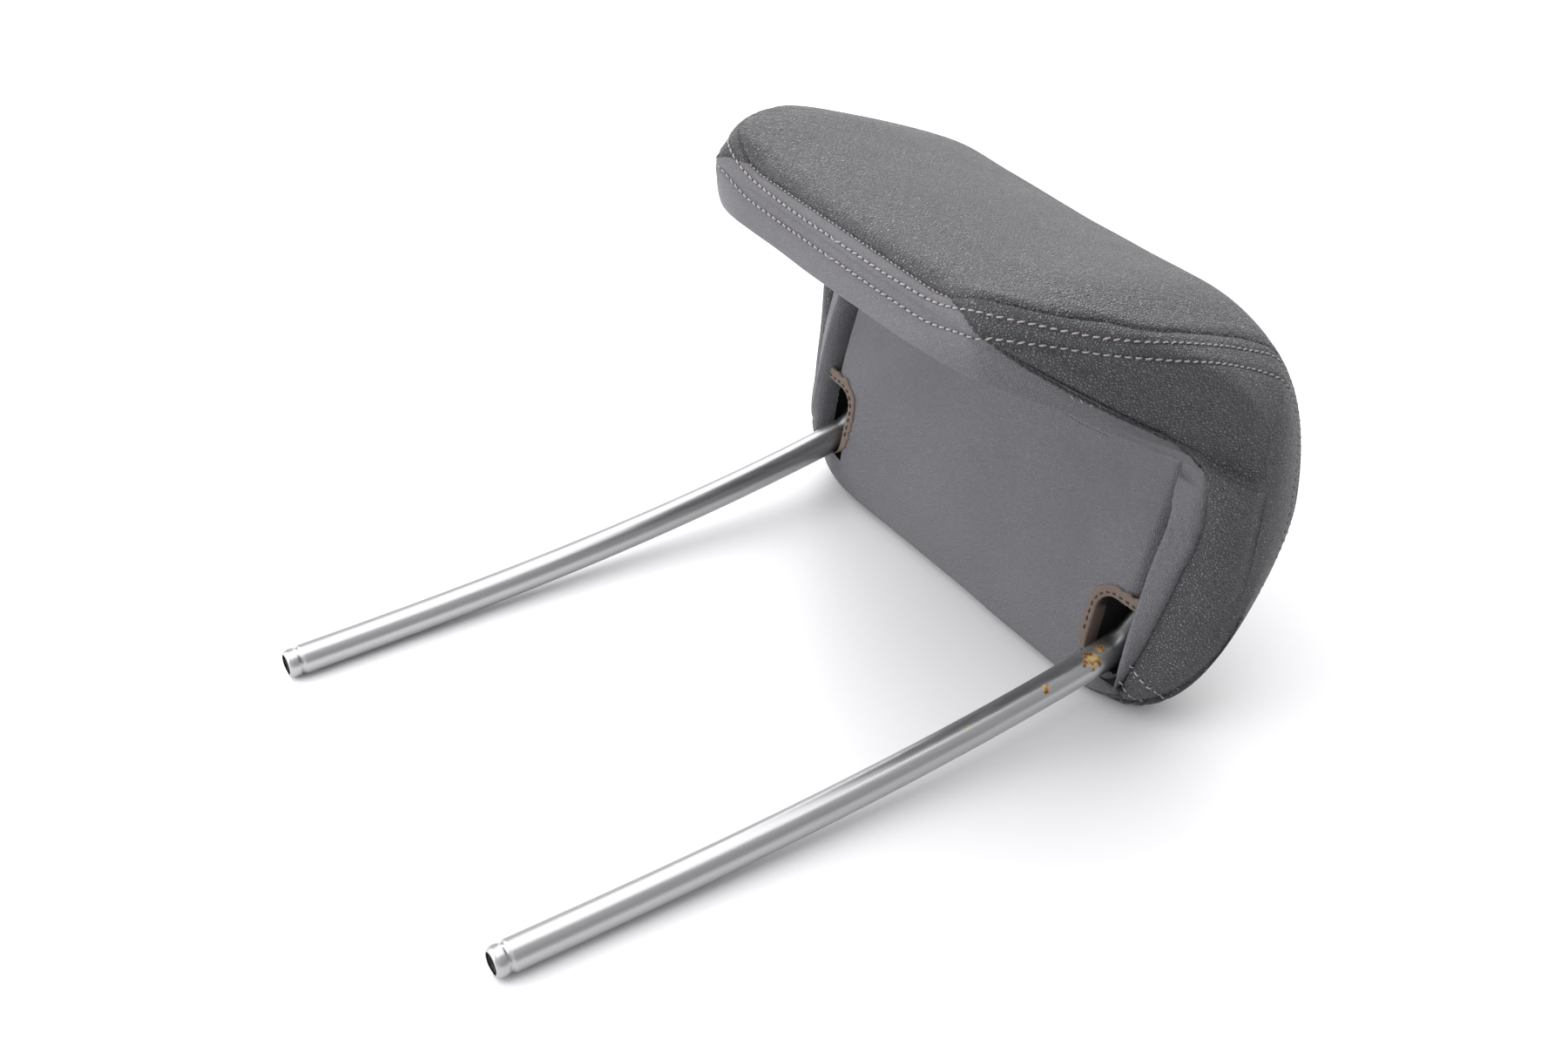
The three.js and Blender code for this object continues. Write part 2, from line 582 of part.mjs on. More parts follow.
// Carrier: two moulded half shells round the cross bar, with ribs between open bays
const BAY_PITCH = (2 * CARRIER_HALF - RIB) / BAYS;
const BUSH_BAYS = [-2 * BAY_PITCH, 2 * BAY_PITCH];
const SCREW_BAYS = [-BAY_PITCH, BAY_PITCH];
const BUSH_RADIUS = TUBE_RADIUS + RUNNING_GAP + BUSH_WALL;
const HALF_DEPTH = CARRIER_DEPTH / 2;
const HALF_HEIGHT = CARRIER_HEIGHT / 2;
const BOTH = [-1, 1];

function carrierShell(side) {
  const face = side * PARTING_GAP / 2;
  const back = side * HALF_DEPTH;
  const [near, far] = [Math.min(face, back), Math.max(face, back)];
  const shape = new THREE.Shape();
  shape.moveTo(face, -HALF_HEIGHT);
  if (side > 0) {
    shape.lineTo(back - CARRIER_CORNER, -HALF_HEIGHT);
    shape.absarc(back - CARRIER_CORNER, -HALF_HEIGHT + CARRIER_CORNER, CARRIER_CORNER, -Math.PI / 2, 0);
    shape.absarc(back - CARRIER_CORNER, HALF_HEIGHT - CARRIER_CORNER, CARRIER_CORNER, 0, Math.PI / 2);
    shape.lineTo(face, HALF_HEIGHT);
  } else {
    shape.lineTo(face, HALF_HEIGHT);
    shape.lineTo(back + CARRIER_CORNER, HALF_HEIGHT);
    shape.absarc(back + CARRIER_CORNER, HALF_HEIGHT - CARRIER_CORNER, CARRIER_CORNER, Math.PI / 2, Math.PI);
    shape.absarc(back + CARRIER_CORNER, -HALF_HEIGHT + CARRIER_CORNER, CARRIER_CORNER, Math.PI, Math.PI * 1.5);
  }
  let shell = prismX(shape, -CARRIER_HALF, CARRIER_HALF, 3);
  const floor = side * (HALF_DEPTH - CARRIER_WALL);
  const pocketHeight = HALF_HEIGHT - CARRIER_WALL;
  for (let bay = 0; bay < BAYS; bay += 1) {
    const x0 = -CARRIER_HALF + RIB + bay * BAY_PITCH;
    shell = shell.subtract(block(x0, x0 + BAY_PITCH - RIB, Math.min(floor, -side), Math.max(floor, -side),
      -pocketHeight, pocketHeight));
  }
  for (const x of SCREW_BAYS) {
    for (const way of BOTH) {
      shell = shell.add(rodY(CASE_BOSS / 2, near + (side > 0 ? 0 : 1), far - (side > 0 ? 1 : 0),
        x, way * CASE_SCREW_HEIGHT, 12));
    }
  }
  if (side < 0) {
    for (const x of BUSH_BAYS) {
      shell = shell.add(block(x - BUSH_LENGTH / 2 + 1, x + BUSH_LENGTH / 2 - 1, floor - 1, -BUSH_RADIUS / 2, -6, 6));
      for (const way of BOTH) {
        shell = shell.add(rodY(SMALL_SCREW / 2 + SEAT + SMALL_BOSS_WALL, back + 1, face, x, way * EAR_HOLE_HEIGHT, 12));
        shell = shell.subtract(rodY(SMALL_SCREW / 2 + SEAT, -SMALL_LENGTH, 1, x, way * EAR_HOLE_HEIGHT, 10));
      }
      shell = shell.subtract(rodX(BUSH_RADIUS + SEAT, x - BUSH_LENGTH / 2 - SEAT, x + BUSH_LENGTH / 2 + SEAT, 0, 0));
    }
  }
  for (const x of SCREW_BAYS) {
    for (const way of BOTH) {
      const z = way * CASE_SCREW_HEIGHT;
      const screwEnd = HALF_DEPTH - CASE_HEAD_HEIGHT - HEAD_RECESS - CASE_LENGTH;
      shell = shell.subtract(rodY(CASE_SCREW / 2 + SEAT, screwEnd - 1, HALF_DEPTH + 1, x, z, 10));
      if (side > 0) {
        shell = shell.subtract(rodY(CASE_HEAD / 2 + SEAT, HALF_DEPTH - CASE_HEAD_HEIGHT - HEAD_RECESS, HALF_DEPTH + 1, x, z, 12));
      }
    }
  }
  return shell.subtract(rodX(TUBE_RADIUS + BAR_CLEARANCE, -CARRIER_HALF - 1, CARRIER_HALF + 1, 0, 0, 20));
}

function frictionBush(x) {
  const split = BUSH_SPLIT / 2 / BUSH_RADIUS;
  const shape = new THREE.Shape();
  shape.absarc(0, 0, BUSH_RADIUS, Math.PI / 2 + split, Math.PI * 2.5 - split, false);
  shape.absarc(0, 0, TUBE_RADIUS + RUNNING_GAP, Math.PI * 2.5 - split, Math.PI / 2 + split, true);
  return prismX(shape, x - BUSH_LENGTH / 2, x + BUSH_LENGTH / 2, 16);
}

const EAR_FACE = PARTING_GAP / 2 + SEAT;

function bushClamp(x) {
  const inside = BUSH_RADIUS + SEAT;
  const outside = inside + CLAMP_THICKNESS;
  const innerAngle = Math.acos(EAR_FACE / inside);
  const outerAngle = Math.acos((EAR_FACE + CLAMP_THICKNESS) / outside);
  const shape = new THREE.Shape();
  shape.moveTo(EAR_FACE, -CLAMP_EAR);
  shape.lineTo(EAR_FACE + CLAMP_THICKNESS, -CLAMP_EAR);
  shape.absarc(0, 0, outside, -outerAngle, outerAngle, false);
  shape.lineTo(EAR_FACE + CLAMP_THICKNESS, CLAMP_EAR);
  shape.lineTo(EAR_FACE, CLAMP_EAR);
  shape.absarc(0, 0, inside, innerAngle, -innerAngle, true);
  let clamp = prismX(shape, x - CLAMP_WIDTH / 2, x + CLAMP_WIDTH / 2, 8);
  for (const way of BOTH) {
    clamp = clamp.subtract(rodY(SMALL_SCREW / 2 + SEAT, -1, 4, x, way * EAR_HOLE_HEIGHT, 10));
  }
  return clamp;
}

// A pan-head screw along Y, its head toward +Y
function screw(diameter, head, headHeight, length, x, seatY, z) {
  const profile = [
    new THREE.Vector2(0, -length), new THREE.Vector2(diameter / 2, -length + diameter / 3),
    new THREE.Vector2(diameter / 2, 0), new THREE.Vector2(head / 2, 0),
    new THREE.Vector2(head / 2, headHeight * 0.5), new THREE.Vector2(head / 3, headHeight),
    new THREE.Vector2(0, headHeight),
  ];
  return solidOf(new THREE.LatheGeometry(profile, 10).translate(x, seatY, z));
}

// Foam core, open at the slots, hollow for the carrier and the sweep of the legs
function foamCore() {
  const pocketShape = new THREE.Shape([
    [-33, -42], [-26, -39.5], [-10, -26], [8, -9], [10, 4], [3, 10], [-13, 9], [-23, 2],
  ].map(([y, z]) => new THREE.Vector2(BAR_Y + y, BAR_HEIGHT + z)));
  const pocket = prismX(pocketShape, POCKET_INNER, POCKET_OUTER);
  const mouth = prismY(
    roundedRect(SLOT_INNER, PANEL_HALF + SEAT, SLOT_BOTTOM, SLOT_TOP, SLOT_CORNER), EDGE_Y - 12, FOLD_Y + 4, 5);
  const nest = block(
    -CARRIER_HALF - CORE_GAP, CARRIER_HALF + CORE_GAP,
    BAR_Y - HALF_DEPTH - CORE_GAP, BAR_Y + HALF_DEPTH + CORE_GAP,
    BAR_HEIGHT - HALF_HEIGHT - CORE_GAP, BAR_HEIGHT + HALF_HEIGHT + CORE_GAP);
  return [pocket, mouth, mirrored(pocket), mirrored(mouth), nest].reduce((foam, cut) => foam.subtract(cut), core);
}

// Assembly
const headrest = new THREE.Group();
headrest.position.y = -TOTAL_LENGTH / 2;

function addPiece(name, solid, material, place = [0, 0, 0]) {
  const geometry = geometryWithoutSlivers(solid);
  geometry.computeVertexNormals();
  const mesh = new THREE.Mesh(geometry, material);
  mesh.name = name;
  mesh.position.set(...place);
  headrest.add(mesh);
}

const ON_BAR = [0, BAR_Y, BAR_HEIGHT];
addPiece('post_tube', postTube(), STEEL);
addPiece('carrier_front_shell', carrierShell(-1), BLACK_PLASTIC, ON_BAR);
addPiece('carrier_rear_shell', carrierShell(1), BLACK_PLASTIC, ON_BAR);
BUSH_BAYS.forEach((x, k) => {
  const hand = ['left', 'right'][k];
  addPiece(`friction_bush_${hand}`, frictionBush(x), BUSH_PLASTIC, ON_BAR);
  addPiece(`bush_clamp_${hand}`, bushClamp(x), ZINC, ON_BAR);
  BOTH.forEach((way) => {
    const seatY = EAR_FACE + CLAMP_THICKNESS + SEAT;
    addPiece(`clamp_screw_${hand}_${way < 0 ? 'low' : 'high'}`,
      screw(SMALL_SCREW, SMALL_HEAD, SMALL_HEAD_HEIGHT, SMALL_LENGTH, x, seatY, way * EAR_HOLE_HEIGHT), ZINC, ON_BAR);
  });
});
SCREW_BAYS.forEach((x, k) => {
  BOTH.forEach((way) => {
    const seatY = HALF_DEPTH - CASE_HEAD_HEIGHT - HEAD_RECESS + SEAT;
    addPiece(`carrier_screw_${['left', 'right'][k]}_${way < 0 ? 'low' : 'high'}`,
      screw(CASE_SCREW, CASE_HEAD, CASE_HEAD_HEIGHT, CASE_LENGTH, x, seatY, way * CASE_SCREW_HEIGHT), ZINC, ON_BAR);
  });
});
addPiece('foam_core', foamCore(), FOAM);
const PANEL_MATERIAL = { recess: PANEL_GREY, underside: PANEL_GREY, return: PANEL_GREY, slot: RAW_EDGE };
for (const [name, solid] of Object.entries(leatherPanels())) {
  addPiece(name, solid, PANEL_MATERIAL[name.split('_')[0]] ?? LEATHER_GREY);
}

export default headrest;
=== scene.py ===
"""Looks of the car headrest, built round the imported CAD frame. Lengths in mm until a mesh is made."""

import json

import bpy
import numpy as np
from mathutils import Matrix, Vector
from mathutils.kdtree import KDTree

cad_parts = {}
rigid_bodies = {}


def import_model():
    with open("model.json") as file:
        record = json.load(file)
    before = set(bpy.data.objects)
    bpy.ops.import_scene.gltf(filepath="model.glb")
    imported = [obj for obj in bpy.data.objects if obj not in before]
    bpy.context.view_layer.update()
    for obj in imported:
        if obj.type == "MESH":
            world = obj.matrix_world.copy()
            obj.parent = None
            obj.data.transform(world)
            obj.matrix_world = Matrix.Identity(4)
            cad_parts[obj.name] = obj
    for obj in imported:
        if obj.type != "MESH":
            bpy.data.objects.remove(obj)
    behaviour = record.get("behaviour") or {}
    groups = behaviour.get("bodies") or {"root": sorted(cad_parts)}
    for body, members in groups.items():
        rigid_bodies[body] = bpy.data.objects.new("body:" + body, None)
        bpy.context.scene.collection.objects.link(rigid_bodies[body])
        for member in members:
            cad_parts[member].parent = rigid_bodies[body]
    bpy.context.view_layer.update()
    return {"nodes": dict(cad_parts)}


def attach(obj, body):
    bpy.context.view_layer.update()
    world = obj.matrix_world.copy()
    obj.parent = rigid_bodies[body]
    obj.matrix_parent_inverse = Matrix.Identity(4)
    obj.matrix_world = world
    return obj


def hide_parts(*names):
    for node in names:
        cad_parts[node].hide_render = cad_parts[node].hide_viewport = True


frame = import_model()

HALF_LENGTH = 169.75
HALF_WIDTH = 129.0
PANEL_HALF = 100.0
CUSHION_MIDDLE = (0, 280.0, 95.0)

# The cushion's form: each knot of the side profile has its place, heading and handle lengths at the middle
# and at the side face, and the law by which it draws in between them
KNOTS = [
    ((271, 0, 10.5, 16, 22), (279, 56.5, 60, 8, 12), (84.5, 129, 2)),
    ((339.5, 89, 92, 34, 30), (297, 94.5, 92, 18, 14), (78.5, 129, 2)),
    ((302, 158.5, 153.5, 20, 20), (285.5, 125, 150, 8, 5), (64.5, 129, 2)),
    ((221, 182, 180, 18, 16), (282, 131, 190, 4, 4), (76, 129, 2)),
    ((195.6, 178.6, 222, 9, 3), (276.5, 126.5, 235, 3, 3), (68, 124, 1.87)),
    ((191.6, 173, 272, 2.5, 3), (273.5, 121, 270, 3, 3), (80, 120.5, 1.43)),
    ((186, 161.5, 332, 4, 7.5), (273.5, 116, 290, 3, 4), (51.5, 124.5, 1.86)),
    ((274, 99, 289, 46, 0), (271, 103, 270, 4, 3), (91, 129, 2)),
    ((274.6, 96, 262, 0, 10), (271, 93, 268, 3, 10), (91, 129, 2)),
    ((251.2, 9.5, 265, 30, 4), (273, 58.5, 268, 12, 3), (73, 129, 2)),
    ((261, 0, 0, 4, 3), (275, 53, 20, 3, 3), (76, 129, 2)),
]
# How far each knot turns back toward the side face, which rounds the wings' front
FRONT_TURN = [7, 0, 0, 1, 6.5, 10, 11.5, 15, 15, 12, 10]
# How far the lip's front bows back, and how far knots rise toward the sides, the lip's corners and the wings
FRONT_BOW = {1: 5.75}
SIDE_RISE = {2: 2.5, 3: 4.35}
CORNER_RISE = {4: 6, 5: 2.5}
WING_RISE = {7: 9.5, 8: 9.5}
# Half-widths over which the lip's corners come in and the wings rise, and where the side's rounding starts
LIP_CORNER = (52, 84)
WING_SPAN = (35, 105)
ROUND_START = 108
# The profile places of the seams that run across
REAR_SEAM, LIP_SEAM, FOLD_SEAM, EDGE_SEAM = 1.08, 4.0, 7.5, 9.5


def smooth(t):
    t = np.clip(t, 0, 1)
    return t * t * (3 - 2 * t)


def band(value, low_from, low_to, high_to, high_from):
    """1 between low_to and high_to, fading to 0 at low_from and high_from."""
    rise = smooth((value - low_from) / (low_to - low_from))
    return rise * smooth((high_from - value) / (high_from - high_to))


def unit(v):
    return v / np.linalg.norm(v)


def lengths(line):
    """How far along a line each of its points lies."""
    return np.concatenate([[0], np.cumsum(np.linalg.norm(np.diff(line, axis=0), axis=1))])


def along(values, places, wanted):
    """Points or normals read between their places along a line."""
    return np.stack([np.interp(wanted, places, values[:, k]) for k in range(3)], -1)


def knots_at(x):
    """The profile's knots at these half-widths."""
    ax = np.abs(x)
    reach = (ax / PANEL_HALF) ** 2
    corner = smooth((ax - LIP_CORNER[0]) / (LIP_CORNER[1] - LIP_CORNER[0]))
    wing = smooth((ax - WING_SPAN[0]) / (WING_SPAN[1] - WING_SPAN[0]))
    past = np.clip((ax - ROUND_START) / (HALF_WIDTH - ROUND_START), 0, 1)
    turn = 1 - np.sqrt(np.maximum(0, 1 - past ** 2))
    rows = []
    for k, (mid, side, law) in enumerate(KNOTS):
        t = np.clip((ax - law[0]) / (law[1] - law[0]), 0, 1)
        draw = 1 - np.maximum(0, 1 - t ** law[2]) ** (1 / law[2])
        v = [m + (s - m) * draw for m, s in zip(mid, side)]
        v[0] = v[0] - FRONT_BOW.get(k, 0) * reach + FRONT_TURN[k] * turn
        v[1] = v[1] + SIDE_RISE.get(k, 0) * reach + CORNER_RISE.get(k, 0) * corner * (1 - draw)
        v[1] = v[1] + WING_RISE.get(k, 0) * wing
        rows.append(v)
    return np.array(rows)


def surface(x, s):
    """Points of the cushion at half-width place x and profile place s, in mm, tip frame."""
    x, s = np.broadcast_arrays(np.asarray(x, float), np.asarray(s, float) % len(KNOTS))
    shape = x.shape
    x, s = x.ravel(), s.ravel()
    v = knots_at(x)
    out = np.empty((x.size, 3))
    for k in range(len(KNOTS)):
        m = np.floor(s) == k
        if not m.any():
            continue
        t = s[m] - k
        y0, z0, a0, _, o0 = v[k][:, m]
        y1, z1, a1, i1, _ = v[(k + 1) % len(KNOTS)][:, m]
        a0, a1 = np.radians(a0), np.radians(a1)
        b = [(1 - t) ** 3, 3 * (1 - t) ** 2 * t, 3 * (1 - t) * t ** 2, t ** 3]
        out[m, 1] = b[0] * y0 + b[1] * (y0 + o0 * np.cos(a0)) + b[2] * (y1 - i1 * np.cos(a1)) + b[3] * y1
        out[m, 2] = b[0] * z0 + b[1] * (z0 + o0 * np.sin(a0)) + b[2] * (z1 - i1 * np.sin(a1)) + b[3] * z1
    out[:, 0] = x
    return out.reshape(shape + (3,))


# Where the side gusset starts: profile place and half-width, once round the cushion from the floor
GUSSET_SEAM = [
    (0, 103), (0.17, 107.2), (0.34, 110.5), (0.51, 113.9), (0.68, 116.2), (0.85, 117), (1.02, 116.3),
    (1.27, 113.8), (1.5, 111), (1.74, 108.8), (1.95, 107.2), (2.24, 107), (2.44, 108.6), (2.6, 109.4),
    (2.79, 109.4), (2.9, 107.8), (2.98, 104.2), (3.06, 100.4), (3.215, 96.5), (3.43, 91.5), (3.7, 85.2),
    (3.84, 79), (3.933, 70.5), (4.0, 62.5), (4.09, 64.5), (4.27, 69), (4.5, 74.5), (4.73, 80),
    (4.88, 84), (4.96, 87.5), (5.03, 91.5), (5.065, 95), (5.09, 98), (5.115, 101.5), (5.14, 106), (5.17, 110),
    (5.2, 113), (5.25, 116), (5.39, 119), (5.63, 120.8), (6.0, 121), (6.5, 119.7), (6.82, 118), (6.95, 117),
    (7.24, 115.4), (7.7, 115.0), (8.09, 115.2), (8.26, 115.2), (8.43, 114.4), (8.58, 113.0), (8.7, 111.0),
    (8.81, 108.8), (8.9, 106), (8.97, 103.6), (9.09, 101.6), (9.5, 101), (10.5, 101), (11, 103),
]


# The grid's rows, about 1 mm apart: for every stretch between two knots, shares of it and the rows in each
SPANS = {0: [(1, 118)], 1: [(1, 74)], 2: [(1, 80)], 3: [(0.8, 26), (0.2, 18)], 4: [(0.88, 16), (0.12, 8)],
         5: [(0.28, 28), (0.72, 14)], 6: [(1, 96)], 7: [(0.5, 4), (0.5, 12)], 8: [(1, 84)], 9: [(1, 16)],
         10: [(1, 10)]}
# The grid's columns, from the middle out: middle, wing strip, gusset, and the side face, closed on a spine
MID, WING, SIDE = 92, 16, 46
SPINE = (287.0, 108.0)
SPINE_SHARES = (1.0, 0.8, 0.6, 0.42, 0.28, 0.18, 0.11, 0.06, 0.025)
CAP = len(SPINE_SHARES)


def profile_places():
    """The profile place of every row, with one row on each seam."""
    out = []
    for k, parts in SPANS.items():
        at = float(k)
        for share, count in parts:
            out += list(at + share * np.arange(count) / count)
            at += share
    s = np.array(out)
    for seam in (REAR_SEAM, FOLD_SEAM, EDGE_SEAM):
        s[np.argmin(np.abs(s - seam))] = seam
    return s


S = profile_places()


def gusset_start():
    """The seam's half-width at every profile place, evened out but sharp at the lip's corner."""
    places, widths = np.array(GUSSET_SEAM).T
    corner = int(np.argmin(np.abs(S - LIP_SEAM)))
    line = np.roll(np.interp(S, places, widths), -corner)
    core = line.copy()
    for _ in range(8):
        core[1:-1] = (core[:-2] + 2 * core[1:-1] + core[2:]) / 4
    count = np.arange(len(line))
    share = smooth(np.minimum(count, len(line) - count) / 6.0)
    return np.roll(line * (1 - share) + core * share, corner)


START = gusset_start()


def half_widths():
    """For every profile place the grid's half-widths: middle, wing strip, gusset."""
    in_recess = smooth((S - (FOLD_SEAM - 0.35)) / 0.35) * smooth((EDGE_SEAM + 0.35 - S) / 0.35)
    share = MID / (MID + WING)
    inner = START * share + (PANEL_HALF - START * share) * in_recess
    rows = []
    for start, split in zip(START, np.minimum(inner, START - 1.0)):
        a = split * np.arange(MID) / MID
        b = split + (start - split) * np.arange(WING) / WING
        t = np.arange(SIDE + 1) / SIDE
        angle0 = np.arcsin(start / HALF_WIDTH)
        c = HALF_WIDTH * np.sin(angle0 + (np.pi / 2 - angle0) * t)
        rows.append(np.concatenate([a, b, c, np.full(CAP, HALF_WIDTH)]))
    return np.array(rows)


XS = half_widths()
SEAM_COLUMN = MID + WING
U = np.concatenate([-XS[:, :0:-1], XS], axis=1)
COLUMNS = U.shape[1]
HALF_COLUMNS = XS.shape[1] - 1
P = surface(U, S[:, None])
from_middle = np.arange(COLUMNS) - HALF_COLUMNS
from_seam = np.abs(from_middle) - SEAM_COLUMN


def column(side, offset=0):
    """The column of the side seam, or one that lies offset columns outside it."""
    return HALF_COLUMNS + side * (SEAM_COLUMN + offset)


def close_side(side, rows):
    """The side face's last columns, drawn from its edge in to the spine."""
    edge = HALF_COLUMNS + side * HALF_COLUMNS
    rim = P[rows, column(side, SIDE)].copy()
    for k, share in enumerate(SPINE_SHARES):
        P[rows, edge - side * k] = rim * (1 - share) + np.array((side * HALF_WIDTH, *SPINE)) * share


# Even out the rows along the side face's front edge, where the profile bunches them
bunched = np.nonzero((S > 2.7) & (S < 8.95))[0]
for side in (-1, 1):
    rim = P[bunched, column(side, SIDE)]
    length = lengths(rim)
    move = along(rim, length, np.linspace(0, length[-1], len(rim))) - rim
    share = smooth(from_seam / SIDE) * (np.sign(from_middle) == side)
    P[bunched] += move[:, None] * share[:, None]
for side in (-1, 1):
    close_side(side, np.arange(len(S)))


def taut(p, weight, passes):
    """Leather drawn taut: every point moves toward the middle of its neighbours, by its weight."""
    p = p.copy()
    w = 0.5 * weight[:, 1:-1, None]
    for _ in range(passes):
        middle = (np.roll(p, 1, 0) + np.roll(p, -1, 0))[:, 1:-1] + p[:, :-2] + p[:, 2:]
        p[:, 1:-1] += w * (middle / 4 - p[:, 1:-1])
    return p


# The side seam where it turns down over the wing's front: profile place and measured point, right side
TURNED_SEAM = [(5.24, 115.6, 249.3, 135), (5.9, 117.6, 256.2, 129.2), (6.8, 119.3, 262, 122.5),
               (7.5, 119.5, 266.4, 116.5), (8.0, 118.6, 269.4, 108.5), (8.07, 118.1, 270.5, 102),
               (8.16, 117.3, 271.6, 93.5), (8.27, 115.9, 271.6, 83), (8.41, 115.2, 269, 71),
               (8.55, 113.6, 265.4, 60)]
table = np.array(TURNED_SEAM)
turned = along(table[:, 1:], table[:, 0], S)
on_turn = band(S, 5.22, 5.24, 8.2, 8.55)[:, None]
for side in (-1, 1):
    move = (turned * (side, 1, 1) - P[:, column(side)]) * on_turn
    share = smooth((30 - np.abs(from_seam)) / 30) * (np.sign(from_middle) == side)
    P += move[:, None] * share[:, None]


# Which points the leather's pull moves, row by row and column by column: past the seam, or inside it
past_seam = smooth(from_seam / 1.5)
inside_seam = smooth(-from_seam / 1.5)
wing_front = band(S, 4.9, 5.5, 8.7, 9.1)[:, None] * past_seam
side_front = band(S, 1.9, 3.0, 8.7, 9.1)[:, None] * smooth((from_seam - 12) / 14)
below_lip = band(S, 5.15, 5.5, 7.0, 7.4)[:, None] * inside_seam * smooth((from_seam + 34) / 16)
lip_gusset = band(S, 3.85, 4.2, 6.2, 6.8)[:, None] * past_seam * smooth((44 - from_seam) / 10)
lip_underside = band(S, 4.05, 4.4, 6.0, 6.6)[:, None] * inside_seam * smooth((from_seam + 44) / 16)
whole_wing = band(S, 4.9, 5.5, 8.5, 9.2)[:, None] * past_seam * smooth((SIDE + 5 - from_seam) / 10)
before_spine = smooth((SIDE + CAP + 1 - from_seam) / 20)
P = taut(P, np.maximum(wing_front, side_front) * before_spine + below_lip, 420)
P = taut(P, lip_gusset, 12)
P = taut(P, lip_underside, 24)


# The gusset over the wing's front, drawn anew as one taut skin between its seam, the side face and both ends
front = np.nonzero((S >= 5.35) & (S <= 8.75))[0]
even_shares = np.linspace(0, 1, 61)
for side in (-1, 1):
    columns = column(side, np.arange(SIDE + 1))
    seam, rim = P[front, columns[0]], P[front, columns[-1]]
    a, b = (along(line, lengths(line), even_shares * lengths(line)[-1]) for line in (seam, rim))
    u = np.linspace(0, 1, SIDE + 1)[:, None]
    skin = a[:, None] * (1 - u) + b[:, None] * u
    skin[0], skin[-1] = P[front[0], columns], P[front[-1], columns]
    for _ in range(3000):
        skin[1:-1, 1:-1] = (skin[:-2, 1:-1] + skin[2:, 1:-1] + skin[1:-1, :-2] + skin[1:-1, 2:]) / 4
    row_shares = lengths(seam) / lengths(seam)[-1]
    for k, c in enumerate(columns[1:], 1):
        P[front, c] = along(skin[:, k], even_shares, row_shares)
    close_side(side, front)
P = taut(P, whole_wing, 60)


def normals_of(p):
    ds = np.roll(p, -1, 0) - np.roll(p, 1, 0)
    du = np.gradient(p, axis=1)
    n = np.cross(du, ds)
    n /= np.maximum(1e-9, np.linalg.norm(n, axis=-1, keepdims=True))
    outward = np.mean(np.sum(n * (p - CUSHION_MIDDLE), -1))
    return -n if outward < 0 else n


NORMAL = normals_of(P)
NORMAL[:, :CAP] = (-1, 0, 0)
NORMAL[:, -CAP:] = (1, 0, 0)


# Seam lines on the grid
REAR_ROW, LIP_ROW, FOLD_ROW, EDGE_ROW = (int(np.argmin(np.abs(S - s))) for s in
                                         (REAR_SEAM, LIP_SEAM, FOLD_SEAM, EDGE_SEAM))
seams = {}
for side in (-1, 1):
    seams["gusset", side] = np.append(np.arange(len(S)), 0), column(side)
    seams["wing", side] = np.arange(FOLD_ROW, EDGE_ROW + 1), HALF_COLUMNS + side * MID
for name, row in (("rear", REAR_ROW), ("lip", LIP_ROW), ("fold", FOLD_ROW), ("edge", EDGE_ROW)):
    seams[name, 0] = row, np.arange(column(-1), column(1) + 1)
seam_lines = {key: P[at] for key, at in seams.items()}


def dense(line, step=0.5):
    """The line with a point at every step of its length."""
    line = np.asarray(line)
    length = lengths(line)
    return along(line, length, np.arange(0, length[-1], step))


def tree_of(points):
    tree = KDTree(len(points))
    for k, p in enumerate(points):
        tree.insert(p, k)
    tree.balance()
    return tree


def distance_to(lines, points, limit):
    """Distance of each point from the nearest of these lines, at most limit."""
    samples = np.concatenate([dense(line) for line in lines])
    tree = tree_of(samples)
    flat = points.reshape(-1, 3)
    near = np.full(len(flat), limit)
    lo, hi = samples.min(0) - limit, samples.max(0) + limit
    mask = np.all((flat > lo) & (flat < hi), axis=1)
    for k in np.nonzero(mask)[0]:
        near[k] = min(limit, tree.find(flat[k])[2])
    return near.reshape(points.shape[:-1])


to_seam = distance_to([line for key, line in seam_lines.items() if key[0] != "fold"], P, 9.0)
to_fold = distance_to([seam_lines["fold", 0]], P, 6.0)

# The outer seam: along the lip, over the top on both sides and down the back to the bottom corners
outer_rows = np.concatenate([np.arange(EDGE_ROW, len(S)), np.arange(0, LIP_ROW + 1)])
OUTER = [P[outer_rows, column(-1)], P[outer_rows, column(1)], seam_lines["lip", 0]]
to_outer = distance_to(OUTER, P, 30.0)


def crossing(place, value, wanted):
    """The first place along a line of grid points at which value passes wanted."""
    over = np.nonzero(value >= wanted)[0]
    if not len(over) or over[0] == 0:
        return None
    k = over[0]
    t = (wanted - value[k - 1]) / max(1e-6, value[k] - value[k - 1])
    return place[k - 1] + (place[k] - place[k - 1]) * t


def even(line, passes):
    """The line with its kinks evened out."""
    line = np.array(line)
    for _ in range(passes):
        line[1:-1] = (line[:-2] + 2 * line[1:-1] + line[2:]) / 4
    return line


